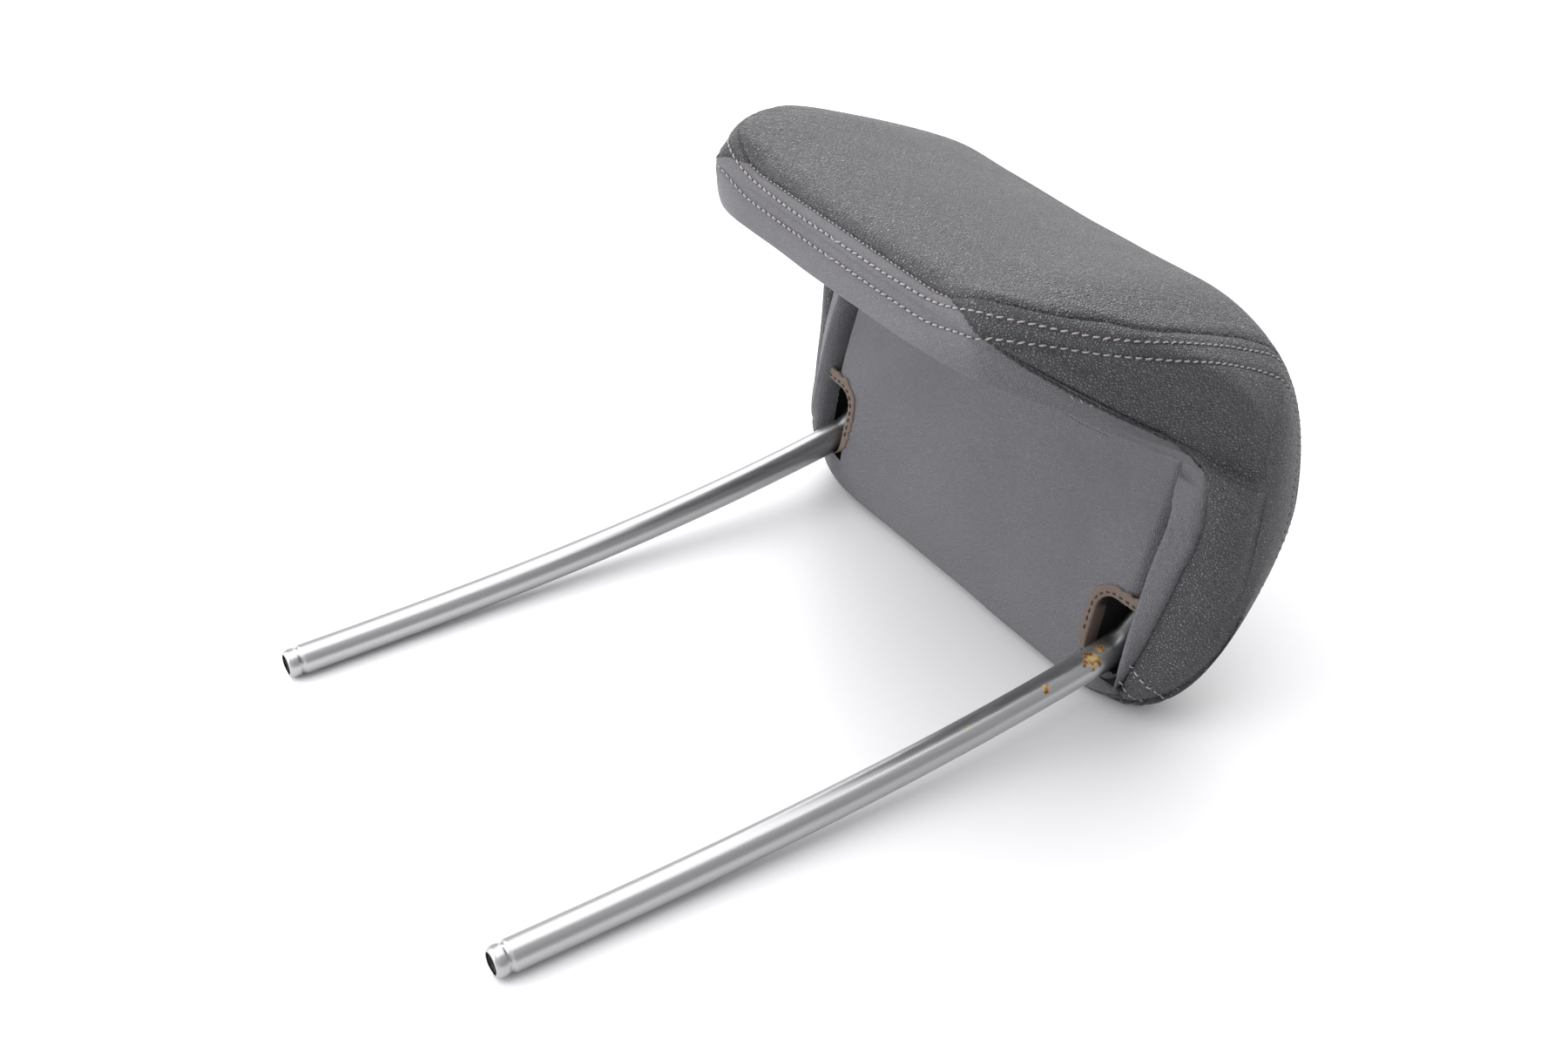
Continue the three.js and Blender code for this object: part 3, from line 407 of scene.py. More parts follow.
# Topstitch rows, by their distance from the seam: places on lip and top, and the end on the wing's front
NEAR, FAR = 5.0, 13.0
ROW_TOP = {
    NEAR: [(0, 193, 175), (30, 193, 175), (53, 193, 176), (61, 193.2, 177), (66.8, 193.4, 178.6),
           (74.9, 195.9, 180.2), (82, 199.1, 180.8), (89, 204.5, 180.4), (95.2, 211, 179.3),
           (103.9, 221, 177), (108.1, 228, 175.9), (111.6, 236, 174), (113.6, 246, 171.7), (114, 260, 167),
           (112.8, 275.7, 161.4), (112, 285.5, 156.5), (110.8, 297, 151), (110.5, 305, 145)],
    FAR: [(0, 190, 169.5), (30, 190, 169.5), (57, 190, 170), (66, 190.6, 171.5), (74.5, 191.5, 173.2),
          (83, 194.5, 174.8), (90.2, 202.5, 174.4), (96.4, 209, 173.7), (101.7, 215.3, 172.4),
          (106.1, 221.9, 171.2), (111.3, 229.5, 170.3), (115.3, 237.2, 169.2), (118, 245.4, 167.5),
          (119.6, 256, 164.4), (119.5, 270.4, 159), (118.5, 286, 152), (118.3, 296, 145.3),
          (118.3, 302, 140)],
}
ROW_END = {NEAR: [(108, 259, 12), (105.5, 256.5, 14), (104, 255, 18), (101, 255, 21)],
           FAR: [(117, 263, 20), (111, 257.5, 23), (106, 256, 27), (101.5, 257, 31)]}


def stitch_row(side, offset):
    """A topstitch row from the middle of the lip over the gusset to the wing's bottom corner."""
    points = [np.array((side * x, y, z), float) for x, y, z in ROW_TOP[offset]]
    top = len(points)
    cols = [column(side, k) for k in range(SIDE)]
    for r in np.concatenate([np.arange(REAR_ROW + 60, -1, -1), np.arange(len(S) - 1, len(S) - 6, -1)]):
        p = crossing(P[r, cols], to_outer[r, cols], offset)
        if p is None or p[2] > points[top - 1][2] - 4:
            continue
        if len(points) > top or np.linalg.norm(p - points[-1]) <= 9:
            points.append(p)
    points += [np.array((side * x, y, z), float) for x, y, z in ROW_END[offset]]
    return even(dense(even(dense(points, 2.0), 8), 1.2), 6)


all_normals = NORMAL.reshape(-1, 3)


def on_surface(line, points, tree):
    """A line moved onto the cushion's surface, and the normals there."""
    places, normals = [], []
    for p in line:
        near = tree.find_n(p, 5)
        weight = np.array([1 / (d + 0.3) for _, _, d in near])
        weight /= weight.sum()
        index = [k for _, k, _ in near]
        n = unit((all_normals[index] * weight[:, None]).sum(0))
        q = (points[index] * weight[:, None]).sum(0)
        places.append(p - n * np.dot(p - q, n))
        normals.append(n)
    return even(places, 2), even(normals, 6)


plain_points = P.reshape(-1, 3)
plain_tree = tree_of(plain_points)
ROWS = {(side, offset): on_surface(stitch_row(side, offset), plain_points, plain_tree)[0]
        for side in (-1, 1) for offset in (NEAR, FAR)}
to_rows = distance_to(list(ROWS.values()), P, 6.0)

# Relief, in mm along the normal: rolled edges at the seams, dents along the thread, wrinkles
gusset_side = np.broadcast_to(from_seam > 0, P.shape[:2])


def rolled(distance, radius, depth):
    """A rounded edge that drops by depth at a seam."""
    t = np.clip(1 - distance / radius, 0, 1)
    return -depth * (1 - np.sqrt(np.maximum(0, 1 - t ** 2)))


edge_radius = np.where(gusset_side, 1.5, 2.3)
edge_radius[LIP_ROW:FOLD_ROW] = 1.6
relief = rolled(to_seam, edge_radius, edge_radius * 0.75)
relief += 0.3 * np.exp(-((to_seam - 4) / 2.2) ** 2)
relief += rolled(to_fold, 2.5, 1.0)
relief -= 0.5 * np.exp(-(to_rows / 1.1) ** 2)

# Wrinkles: place, direction across, reach along and across, wave, height
WRINKLES = [
    ((-98, 226, 181), (-0.84, 0.54, 0), 34, 13, 6.5, 0.50),
    ((-78, 208, 184), (-0.70, 0.70, 0), 26, 8, 5.0, 0.35),
    ((78, 212, 186), (-0.52, 0.85, 0), 28, 7, 4.6, 0.22),
    ((96, 262, 169), (0.95, -0.1, 0.2), 32, 10, 5.5, 0.34),
    ((106, 300, 150), (0.9, 0.1, 0.4), 20, 9, 4.5, 0.35),
    ((109, 272, 88), (1, 0, 0.25), 13, 7, 4.2, 0.60),
    ((-109, 272, 88), (1, 0, -0.25), 13, 7, 4.2, 0.60),
    ((60, 190, 168), (0.9, 0, 0.4), 16, 8, 6.0, 0.2),
]


def wrinkles(p):
    total = np.zeros(p.shape[:-1])
    for k, (place, across, reach, wide, wave, height) in enumerate(WRINKLES):
        a = unit(np.array(across, float))
        d = p - np.array(place, float)
        u = d @ a
        rest = np.linalg.norm(d - u[..., None] * a, axis=-1)
        bend = 2.0 * np.sin(rest / 9 + k) + 1.3 * np.sin(rest / 4.1 + 2 * k)
        shape = np.sin(2 * np.pi * (u + bend) / wave)
        fade = np.exp(-(rest / reach) ** 2 - (u / wide) ** 2)
        total += height * (0.4 * shape - 0.6 * np.abs(shape) ** 0.7) * fade
    return total


relief += wrinkles(P)

# The gusset over the wing is filled out from below, more where it is wide
on_wing = np.clip(from_seam / SIDE, 0, 1)[None, :]
width = np.stack([np.linalg.norm(P[:, column(side)] - P[:, column(side, SIDE)], axis=1)
                  for side in (-1, 1)]).mean(0)
bulge = band(S, 5.0, 6.2, 8.4, 9.0) * np.minimum(0.24 * width, 4.5)
relief += bulge[:, None] * (1 - (1 - on_wing) ** 3) * np.sqrt(1 - on_wing ** 3)

# The wing's return stands forward of the recess panel, with a deep crease between them
strip = np.clip((np.abs(from_middle) - MID) / WING, 0, 1)[None, :]
in_recess = band(S, 7.85, 8.12, EDGE_SEAM - 0.5, EDGE_SEAM - 0.05)[:, None]
crease = np.abs(np.abs(P[..., 0]) - PANEL_HALF)
forward = np.where(strip > 0, np.sin(np.pi * strip ** 0.55), 0)
near_crease = np.abs(P[..., 0]) < PANEL_HALF + 4
relief += in_recess * (4.2 * forward - 3.2 * np.exp(-(crease / 3.2) ** 2) * near_crease)
relief -= in_recess * 1.4 * np.exp(-(crease / 10) ** 2) * (strip == 0)

# The foam below is never quite even
X, Y, Z = (P[..., k] for k in range(3))
uneven = np.sin(X / 17 + 1.3 * np.sin(Y / 23)) * np.sin(Z / 19 + Y / 31)
uneven += 0.5 * np.sin(X / 7.3 + Z / 11) * np.sin(Y / 8.7 + 0.7 * np.sin(X / 13))
relief += 0.22 * uneven
Q = P + NORMAL * relief[..., None]
Q = taut(Q, band(S, 4.6, 5.6, 9.6, 10.2)[:, None] * smooth((11 - np.abs(from_seam - SIDE)) / 7), 70)
skin_points = Q.reshape(-1, 3)
skin_tree = tree_of(skin_points)


# Meshes
def make(name, points, faces, look, body="cushion"):
    """A piece from points in the tip frame, in mm."""
    points = (np.asarray(points, float) - (0, HALF_LENGTH, 0)) / 1000
    mesh = bpy.data.meshes.new(name)
    mesh.from_pydata(points.tolist(), [], [tuple(int(k) for k in f) for f in faces])
    mesh.polygons.foreach_set("use_smooth", [True] * len(mesh.polygons))
    mesh.materials.append(look)
    mesh.update()
    o = bpy.data.objects.new(name, mesh)
    bpy.context.scene.collection.objects.link(o)
    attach(o, body)
    return o


def grid_faces(rows, columns, around=False):
    """Faces of a grid of points, which may close on itself."""
    faces = []
    for r in range(rows if around else rows - 1):
        below = ((r + 1) % rows) * columns
        for c in range(columns - 1):
            faces.append((r * columns + c, below + c, below + c + 1, r * columns + c + 1))
    return faces


def patch(name, rows, columns, look, keep=None):
    """A panel from these rows and columns of the skin, without the faces that keep leaves out."""
    points = Q[np.ix_(rows, columns)].reshape(-1, 3)
    faces = grid_faces(len(rows), len(columns))
    if keep is not None:
        faces = [f for f in faces if keep(points[list(f)].mean(0))]
    return make(name, points, faces, look)


# Materials
def material(name, color, rough, metal=0.0):
    m = bpy.data.materials.new(name)
    m.use_nodes = True
    b = m.node_tree.nodes["Principled BSDF"]
    b.inputs["Base Color"].default_value = (*color, 1)
    b.inputs["Roughness"].default_value = rough
    b.inputs["Metallic"].default_value = metal
    return m, m.node_tree, b


def node(tree, kind, **values):
    n = tree.nodes.new(kind)
    for key, value in values.items():
        if key in n.inputs:
            n.inputs[key].default_value = value
        else:
            setattr(n, key, value)
    return n


def mixed(tree, a, b, factor):
    n = tree.nodes.new("ShaderNodeMix")
    n.data_type = "RGBA"
    for socket, value in ((n.inputs[6], a), (n.inputs[7], b)):
        if isinstance(value, tuple):
            socket.default_value = (*value, 1)
        else:
            tree.links.new(value, socket)
    tree.links.new(factor, n.inputs[0])
    return n.outputs[2]


def ramp(tree, value, low_at, high_at, low=0.0, high=1.0):
    n = node(tree, "ShaderNodeMapRange", clamp=True)
    n.inputs["From Min"].default_value = low_at
    n.inputs["From Max"].default_value = high_at
    n.inputs["To Min"].default_value = low
    n.inputs["To Max"].default_value = high
    tree.links.new(value, n.inputs["Value"])
    return n.outputs["Result"]


def leather(name, color, rough, grain, depth, contrast):
    """Pebbled leather: warped cells for the grain, deeper and darker between them, with broad soft patches."""
    m, tree, b = material(name, color, rough)
    place = node(tree, "ShaderNodeTexCoord").outputs["Object"]
    warp = node(tree, "ShaderNodeTexNoise", Scale=grain * 0.35, Detail=2.0)
    tree.links.new(place, warp.inputs["Vector"])
    bent = node(tree, "ShaderNodeVectorMath", operation="MULTIPLY_ADD")
    tree.links.new(warp.outputs["Color"], bent.inputs[0])
    bent.inputs[1].default_value = (0.0018, 0.0018, 0.0018)
    tree.links.new(place, bent.inputs[2])
    cells = node(tree, "ShaderNodeTexVoronoi", Scale=grain)
    cells.feature = "DISTANCE_TO_EDGE"
    tree.links.new(bent.outputs[0], cells.inputs["Vector"])
    pores = ramp(tree, cells.outputs["Distance"], 0.0, 0.28)
    patches = node(tree, "ShaderNodeTexNoise", Scale=grain * 0.5, Detail=3.0)
    tree.links.new(place, patches.inputs["Vector"])
    broad = node(tree, "ShaderNodeTexNoise", Scale=22.0, Detail=3.0)
    tree.links.new(place, broad.inputs["Vector"])
    height = node(tree, "ShaderNodeMath", operation="MULTIPLY_ADD")
    tree.links.new(patches.outputs["Fac"], height.inputs[0])
    height.inputs[1].default_value = 1.1
    tree.links.new(pores, height.inputs[2])
    bump = node(tree, "ShaderNodeBump", Strength=depth, Distance=0.0012)
    tree.links.new(height.outputs[0], bump.inputs["Height"])
    tree.links.new(bump.outputs["Normal"], b.inputs["Normal"])
    dark = tuple(c * 0.88 for c in color)
    light = tuple(c * 1.10 for c in color)
    tone = mixed(tree, dark, light, ramp(tree, broad.outputs["Fac"], 0.3, 0.7))
    deep = tuple(c * (1 - contrast) for c in color)
    tone = mixed(tree, deep, tone, ramp(tree, pores, 0.0, 0.7, 0.2, 1.0))
    tree.links.new(tone, b.inputs["Base Color"])
    roughness = ramp(tree, broad.outputs["Fac"], 0.3, 0.7, rough - 0.04, rough + 0.04)
    tree.links.new(roughness, b.inputs["Roughness"])
    b.inputs["Specular IOR Level"].default_value = 0.5
    return m


def plain(name, color, rough, metal=0.0, grain=300.0, depth=0.2):
    """An even material with a fine grain."""
    m, tree, b = material(name, color, rough, metal)
    place = node(tree, "ShaderNodeTexCoord").outputs["Object"]
    noise = node(tree, "ShaderNodeTexNoise", Scale=grain, Detail=4.0)
    tree.links.new(place, noise.inputs["Vector"])
    dark = tuple(c * 0.85 for c in color)
    light = tuple(min(1.0, c * 1.12) for c in color)
    tree.links.new(mixed(tree, dark, light, noise.outputs["Fac"]), b.inputs["Base Color"])
    bump = node(tree, "ShaderNodeBump", Strength=depth, Distance=0.0002)
    tree.links.new(noise.outputs["Fac"], bump.inputs["Height"])
    tree.links.new(bump.outputs["Normal"], b.inputs["Normal"])
    return m


GRAINED = leather("grained_leather", (0.114, 0.113, 0.122), 0.46, 900.0, 1.0, 0.55)
SMOOTH = leather("plain_leather", (0.124, 0.123, 0.135), 0.50, 1300.0, 0.5, 0.3)
THREAD = plain("thread", (0.31, 0.27, 0.272), 0.75, grain=2500.0, depth=0.5)
# Dark thread for the slots' stitching, also used as painted shade in the seams' valleys and the needle holes
DARK_THREAD_AND_SHADE = plain("dark_thread_and_painted_shade", (0.03, 0.03, 0.032), 0.8, grain=2500.0, depth=0.5)
RAW = plain("raw_leather", (0.115, 0.085, 0.068), 0.9, grain=700.0, depth=1.0)
FOAM = plain("foam", (0.02, 0.02, 0.021), 0.95, grain=1200.0, depth=1.0)
BLACK = plain("black_plastic", (0.02, 0.02, 0.022), 0.5)
BUSH = plain("bush_plastic", (0.62, 0.58, 0.50), 0.45)
ZINC = plain("zinc_steel", (0.55, 0.55, 0.52), 0.4, metal=1.0)


# Stains on the right post beside its slot: place and radius, in metres
STAINS = [((0.0950, 0.0770, 0.0278), 0.0046), ((0.0926, 0.0821, 0.0294), 0.0022),
          ((0.0949, 0.0551, 0.0241), 0.0022), ((0.0938, 0.0208, 0.0203), 0.0009)]
# Painted shade: where the post's colour goes dark as it goes into the slot, along Y in metres
SLOT_PAINTED_SHADE = (0.085, 0.093)


def steel_material():
    """Drawn steel with fine streaks along it, painted shade inside the slots, stained at one of them."""
    m, tree, b = material("post_steel", (0.44, 0.44, 0.45), 0.3, 1.0)
    place = node(tree, "ShaderNodeTexCoord").outputs["Object"]
    stretch = node(tree, "ShaderNodeMapping")
    stretch.inputs["Scale"].default_value = (700.0, 4.0, 700.0)
    tree.links.new(place, stretch.inputs["Vector"])
    streaks = node(tree, "ShaderNodeTexNoise", Scale=1.0, Detail=3.0)
    tree.links.new(stretch.outputs["Vector"], streaks.inputs["Vector"])
    rough = ramp(tree, streaks.outputs["Fac"], 0.3, 0.7, 0.28, 0.35)
    tone = mixed(tree, (0.40, 0.40, 0.41), (0.48, 0.48, 0.485), streaks.outputs["Fac"])
    blot = node(tree, "ShaderNodeTexNoise", Scale=420.0, Detail=4.0)
    tree.links.new(place, blot.inputs["Vector"])
    stain = None
    for centre, radius in STAINS:
        away = node(tree, "ShaderNodeVectorMath", operation="DISTANCE")
        tree.links.new(place, away.inputs[0])
        away.inputs[1].default_value = centre
        ragged = node(tree, "ShaderNodeMath", operation="MULTIPLY_ADD")
        tree.links.new(blot.outputs["Fac"], ragged.inputs[0])
        ragged.inputs[1].default_value = radius * 2.2
        tree.links.new(away.outputs["Value"], ragged.inputs[2])
        spot = ramp(tree, ragged.outputs[0], radius * 1.75, radius * 2.0, 1.0, 0.0)
        if stain is None:
            stain = spot
        else:
            top = node(tree, "ShaderNodeMath", operation="MAXIMUM")
            tree.links.new(stain, top.inputs[0])
            tree.links.new(spot, top.inputs[1])
            stain = top.outputs[0]
    split = tree.nodes.new("ShaderNodeSeparateXYZ")
    tree.links.new(place, split.inputs[0])
    # Painted shade: the steel's colour is blended toward near black inside the slot
    tone = mixed(tree, tone, (0.06, 0.06, 0.06), ramp(tree, split.outputs["Y"], *SLOT_PAINTED_SHADE))
    rust = mixed(tree, (0.16, 0.07, 0.015), (0.66, 0.46, 0.20), ramp(tree, blot.outputs["Fac"], 0.4, 0.62))
    tree.links.new(mixed(tree, tone, rust, stain), b.inputs["Base Color"])
    for socket, clean, stained in (("Metallic", 1.0, 0.45), ("Roughness", None, 0.45)):
        n = tree.nodes.new("ShaderNodeMix")
        tree.links.new(stain, n.inputs[0])
        if clean is None:
            tree.links.new(rough, n.inputs[2])
        else:
            n.inputs[2].default_value = clean
        n.inputs[3].default_value = stained
        tree.links.new(n.outputs[0], b.inputs[socket])
    return m


# Panels. The slots' inner and outer half-width, bottom and top
SLOT = (83.0, 100.0, 18.0, 48.0)
SLOT_CORNER = 8.0
ALL_ROWS = np.arange(len(S))
across = np.arange(column(-1), column(1) + 1)
recess_columns = np.arange(HALF_COLUMNS - MID, HALF_COLUMNS + MID + 1)


def beside_slot(p):
    return not (SLOT[0] - 1.5 < abs(p[0]) and SLOT[2] + 0.5 < p[2] < SLOT[3] + 1.5)


back_rows = np.concatenate([ALL_ROWS[EDGE_ROW:], ALL_ROWS[:REAR_ROW + 1]])
recess_rows = ALL_ROWS[FOLD_ROW:EDGE_ROW + 1]
panels = {
    "front_panel": patch("front_panel_leather", ALL_ROWS[REAR_ROW:LIP_ROW + 1], across, GRAINED),
    "underside_panel": patch("underside_panel_leather", ALL_ROWS[LIP_ROW:FOLD_ROW + 1], across, SMOOTH),
    "back_panel": patch("back_panel_leather", back_rows, across, GRAINED),
    "recess_panel": patch("recess_panel_leather", recess_rows, recess_columns, SMOOTH, beside_slot),
}
for side, hand in ((-1, "left"), (1, "right")):
    columns = np.arange(HALF_COLUMNS + side * MID, column(side, 1), side)
    panels["return_strip_" + hand] = patch("return_strip_%s_leather" % hand, recess_rows, columns, SMOOTH)
    columns = np.arange(column(side), HALF_COLUMNS + side * (HALF_COLUMNS + 1), side)
    faces = grid_faces(len(S), len(columns), around=True)
    points = Q[:, columns].reshape(-1, 3)
    panels["side_panel_" + hand] = make("side_panel_%s_leather" % hand, points, faces, GRAINED)
for name, o in panels.items():
    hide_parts(name)


# Thread
DIVE = 0.75


def thread_row(name, path, pitch, length, width, look, lift, seed, slant=0.0):
    """Stitches along a path of places and normals: lifted off the leather, diving into it at their ends."""
    places, normals = path
    distance = lengths(places)
    rng = np.random.default_rng(seed)
    points, faces = [], []
    rings, sides = 7, 8
    count = int(distance[-1] / pitch)
    for k in range(count):
        middle = (k + 0.5) * pitch + rng.normal(0, 0.08)
        half = length / 2 * (1 + rng.normal(0, 0.04))
        turn = slant + rng.normal(0, 0.08)
        start = len(points)
        for r in range(rings):
            u = -1 + 2 * r / (rings - 1)
            at = np.clip(middle + u * half, 0, distance[-1])
            c = along(places, distance, at)
            n = unit(along(normals, distance, at))
            ahead = along(places, distance, min(at + 0.5, distance[-1]))
            behind = along(places, distance, max(at - 0.5, 0))
            out = np.cross(unit(ahead - behind), n)
            c = c + out * turn * u * half + n * (lift - DIVE * max(0.0, abs(u) - 0.55) / 0.45)
            thick = width / 2 * (0.62 + 0.38 * np.cos(u * np.pi / 2)) * (1 + 0.10 * np.cos(3 * np.pi * u))
            for j in range(sides):
                angle = 2 * np.pi * j / sides
                points.append(c + thick * (np.cos(angle) * out + 0.75 * np.sin(angle) * n))
        for r in range(rings - 1):
            for j in range(sides):
                a0, a1 = start + r * sides + j, start + r * sides + (j + 1) % sides
                faces.append((a0, a1, a1 + sides, a0 + sides))
        faces.append(tuple(start + j for j in range(sides))[::-1])
        faces.append(tuple(start + (rings - 1) * sides + j for j in range(sides)))
    return make(name, points, faces, look)


def holes(name, path, pitch):
    """Needle holes between the stitches: flat discs on the dented leather, painted dark as the shade inside
    the holes.
    """
    places, normals = path
    distance = lengths(places)
    points, faces = [], []
    for k in range(1, int(distance[-1] / pitch)):
        c = along(places, distance, k * pitch)
        n = unit(along(normals, distance, k * pitch))
        e = unit(np.cross(n, (0.3, 0.5, 0.8)))
        f = np.cross(n, e)
        start = len(points)
        points.append(c + n * 0.32)
        for a in np.radians(np.arange(0, 360, 45)):
            points.append(c + 0.66 * (np.cos(a) * e + np.sin(a) * f) + n * 0.02)
        faces += [(start, start + 1 + j, start + 1 + (j + 1) % 8) for j in range(8)]
    return make(name, points, faces, DARK_THREAD_AND_SHADE)


STITCH_PITCH = 3.5
for (side, offset), line in ROWS.items():
    hand = "left" if side < 0 else "right"
    row = "near" if offset == NEAR else "far"
    path = on_surface(line, skin_points, skin_tree)
    thread_row("topstitch_%s_%s" % (row, hand), path, STITCH_PITCH, 2.9, 0.72, THREAD, 0.27,
               seed=int(offset) + side, slant=-0.16 * side)
    holes("stitch_holes_%s_%s" % (row, hand), path, STITCH_PITCH)
# Painted shade: a dark cord along the bottom of each seam stands in for the shade in its valley; the lip seam
# also gets its light thread
for (name, side), at in seams.items():
    if name in ("fold", "wing"):
        continue
    hand = {-1: "_left", 0: "", 1: "_right"}[side]
    length = lengths(even(Q[at], 4))
    spots = np.arange(0, length[-1], 0.8)
    path = tuple(along(even(v[at], 4), length, spots) for v in (Q, NORMAL))
    thread_row("seam_gap_%s%s" % (name, hand), path, 3.0, 3.7, 1.2, DARK_THREAD_AND_SHADE, 0.1, seed=40 + side)
    if name == "lip":
        thread_row("seam_thread_lip", path, 2.4, 1.7, 0.5, THREAD, 0.55, seed=50, slant=0.12)
LOOSE_THREAD = [(100.5, 216.8, 155.5), (103, 220.5, 153), (106, 225.5, 150), (109, 230, 148)]
bits = on_surface(LOOSE_THREAD, skin_points, skin_tree)
thread_row("loose_thread_bits", bits, 3.6, 1.7, 0.55, THREAD, 0.45, seed=71, slant=0.5)


# Slots: a raw leather binding round each, and the dark pocket in the foam behind
def recess_point(x, z):
    """The point of the recess panel at this half-width and height."""
    s = np.linspace(FOLD_SEAM + 0.6, EDGE_SEAM - 0.05, 160)
    line = surface(np.full(s.shape, x), s)
    return np.array([x, np.interp(z, line[::-1, 2], line[::-1, 1]), z])


def recess_normal(x, z):
    a, b = recess_point(x, z + 1), recess_point(x, z - 1)
    c, d = recess_point(x + 1, z), recess_point(x - 1, z)
    n = unit(np.cross(a - b, c - d))
    return -n if n[1] > 0 else n


def slot_path(side):
    """The slot's edge, from its outer top end to its outer bottom end: places and outward directions."""
    x0, x1, z0, z1 = SLOT
    radius = SLOT_CORNER
    out = [(x, z1, 0.0, 1.0) for x in np.linspace(x1 + 1.5, x0 + radius, 16)]
    for a in np.radians(np.linspace(90, 180, 14)[1:]):
        c, s = np.cos(a), np.sin(a)
        out.append((x0 + radius + radius * c, z1 - radius + radius * s, c, s))
    out += [(x0, z, -1.0, 0.0) for z in np.linspace(z1 - radius, z0 + radius, 24)[1:]]
    for a in np.radians(np.linspace(180, 270, 14)[1:]):
        c, s = np.cos(a), np.sin(a)
        out.append((x0 + radius + radius * c, z0 + radius + radius * s, c, s))
    out += [(x, z0, 0.0, -1.0) for x in np.linspace(x0 + radius, x1 + 1.5, 16)[1:]]
    return [(side * x, z, side * nx, nz) for x, z, nx, nz in out]


# The binding's section, from its outer edge over the leather and into the slot: distance out and height
BINDING = [(4.6, -0.8), (4.7, 0.15), (4.3, 0.55), (3.4, 0.7), (2.2, 0.6), (1.0, 0.75), (0.2, 0.5),
           (0.0, -0.1), (0.1, -2.5), (0.4, -6.0)]
rng = np.random.default_rng(7)
for side, hand in ((-1, "left"), (1, "right")):
    path = [p for p in slot_path(side) if p[3] > -0.8]
    points = []
    for k, (x, z, nx, nz) in enumerate(path):
        ragged = 0.35 * np.sin(k * 0.9) + 0.25 * rng.normal()
        low_end = 0.06 + 0.94 * smooth((z - SLOT[2] - 2.0) / 9.0)
        for j, (wide, tall) in enumerate(BINDING):
            w = (wide + (ragged if j < 3 else 0.0)) * low_end
            # Along the top the section leans back, clear of the post when the cushion tilts
            w += (0.5 + 0.9 * max(-tall - 1.0, 0.0)) * np.sqrt(max(nz, 0.0))
            base = recess_point(x + nx * w, z + nz * w)
            points.append(base + recess_normal(x, z) * (tall + 0.08 * rng.normal() * (j > 0)))
    o = make("slot_binding_%s_edge" % hand, points, grid_faces(len(path), len(BINDING)), RAW)
    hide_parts("slot_binding_" + hand)
    above = [(x, z, nx, nz) for x, z, nx, nz in path if z > SLOT[2] + 10]
    out = [recess_normal(x, z) for x, z, _, _ in above]
    mid = [recess_point(x + nx * 2.2, z + nz * 2.2) + n * 0.9 for (x, z, nx, nz), n in zip(above, out)]
    path = (even(mid, 2), even(out, 2))
    thread_row("slot_thread_" + hand, path, 3.4, 2.4, 0.7, DARK_THREAD_AND_SHADE, 0.1, seed=60 + side)

# Foam core: the pocket walls behind both slots, by their depth and how far they stand outside the slot
POCKET = [(0.4, 2.8), (1.2, 2.8), (4.0, 0.8), (10.0, 2.0), (34.0, 3.0)]
points, faces = [], []
for side in (-1, 1):
    path = [(x, z) for x, z, _, _ in slot_path(side)]
    cx, cz = side * (SLOT[0] + SLOT[1]) / 2, (SLOT[2] + SLOT[3]) / 2
    start = len(points)
    count = len(path)
    for depth, grow in POCKET:
        points += [recess_point(x, z) + (np.sign(x - cx) * grow, depth, np.sign(z - cz) * grow)
                   for x, z in path]
    for r in range(len(POCKET) - 1):
        for j in range(count):
            a0, a1 = start + r * count + j, start + r * count + (j + 1) % count
            faces.append((a0, a1, a1 + count, a0 + count))
    faces.append(tuple(start + (len(POCKET) - 1) * count + j for j in range(count)))
foam = make("foam_core_pockets", points, faces, FOAM)
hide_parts("foam_core")


# Post tube: one bent tube with formed tips, its legs, rises, bends and cross bar
def bezier(a, b, c, d, count):
    t = np.linspace(0, 1, count)[:, None]
    a, b, c, d = (np.array(p, float) for p in (a, b, c, d))
    return (1 - t) ** 3 * a + 3 * (1 - t) ** 2 * t * b + 3 * (1 - t) * t ** 2 * c + t ** 3 * d


POST_X, POST_R, BORE, BEND = 91.5, 6.0, 4.5, 22.0
TIP_Z = POST_R
ENTRY = np.array([POST_X, 258.0, 24.5])
SLOPE = np.tan(np.radians(10.3))
TURN = np.radians(45.0)
BAR = (293.0, 56.0)


def tube_line():
    """The tube's middle line, from the right tip over the cross bar to the left tip."""
    bend = np.array([POST_X, BAR[0] - BEND * np.cos(TURN), BAR[1] - BEND * np.sin(TURN)])
    leg = bezier((POST_X, 0, TIP_Z), (POST_X, 86, TIP_Z), (POST_X, 172, ENTRY[2] - SLOPE * 86), ENTRY, 70)
    reach = np.linalg.norm(bend - ENTRY) / 3
    rise = bezier(ENTRY, (POST_X, ENTRY[1] + reach, ENTRY[2] + reach * SLOPE),
                  (POST_X, bend[1] - reach * np.cos(TURN), bend[2] - reach * np.sin(TURN)), bend, 14)
    half = [(POST_X, d, TIP_Z) for d in np.linspace(0, TIP[-1][0], 22)]
    half += [tuple(p) for p in leg if p[1] > TIP[-1][0] + 1.0] + [tuple(p) for p in rise[1:]]
    for a in np.linspace(0, np.pi / 2, 18)[1:]:
        half.append((POST_X - BEND * (1 - np.cos(a)), bend[1] + BEND * np.sin(a) * np.cos(TURN),
                     bend[2] + BEND * np.sin(a) * np.sin(TURN)))
    half = np.array(half)
    bar = [(x, *half[-1][1:]) for x in np.linspace(half[-1][0], -half[-1][0], 12)[1:-1]]
    return np.vstack([half, bar, half[::-1] * (-1, 1, 1)])


# The formed tip: distance from the end and radius
TIP = [(0, 4.5), (0.25, 4.85), (0.8, 5.25), (1.5, 5.6), (2.3, 5.75), (3.6, 5.75), (4.3, 5.6), (4.8, 5.3),
       (5.2, 5.2), (5.7, 5.3), (6.2, 5.75), (6.7, 5.97), (7.0, POST_R)]


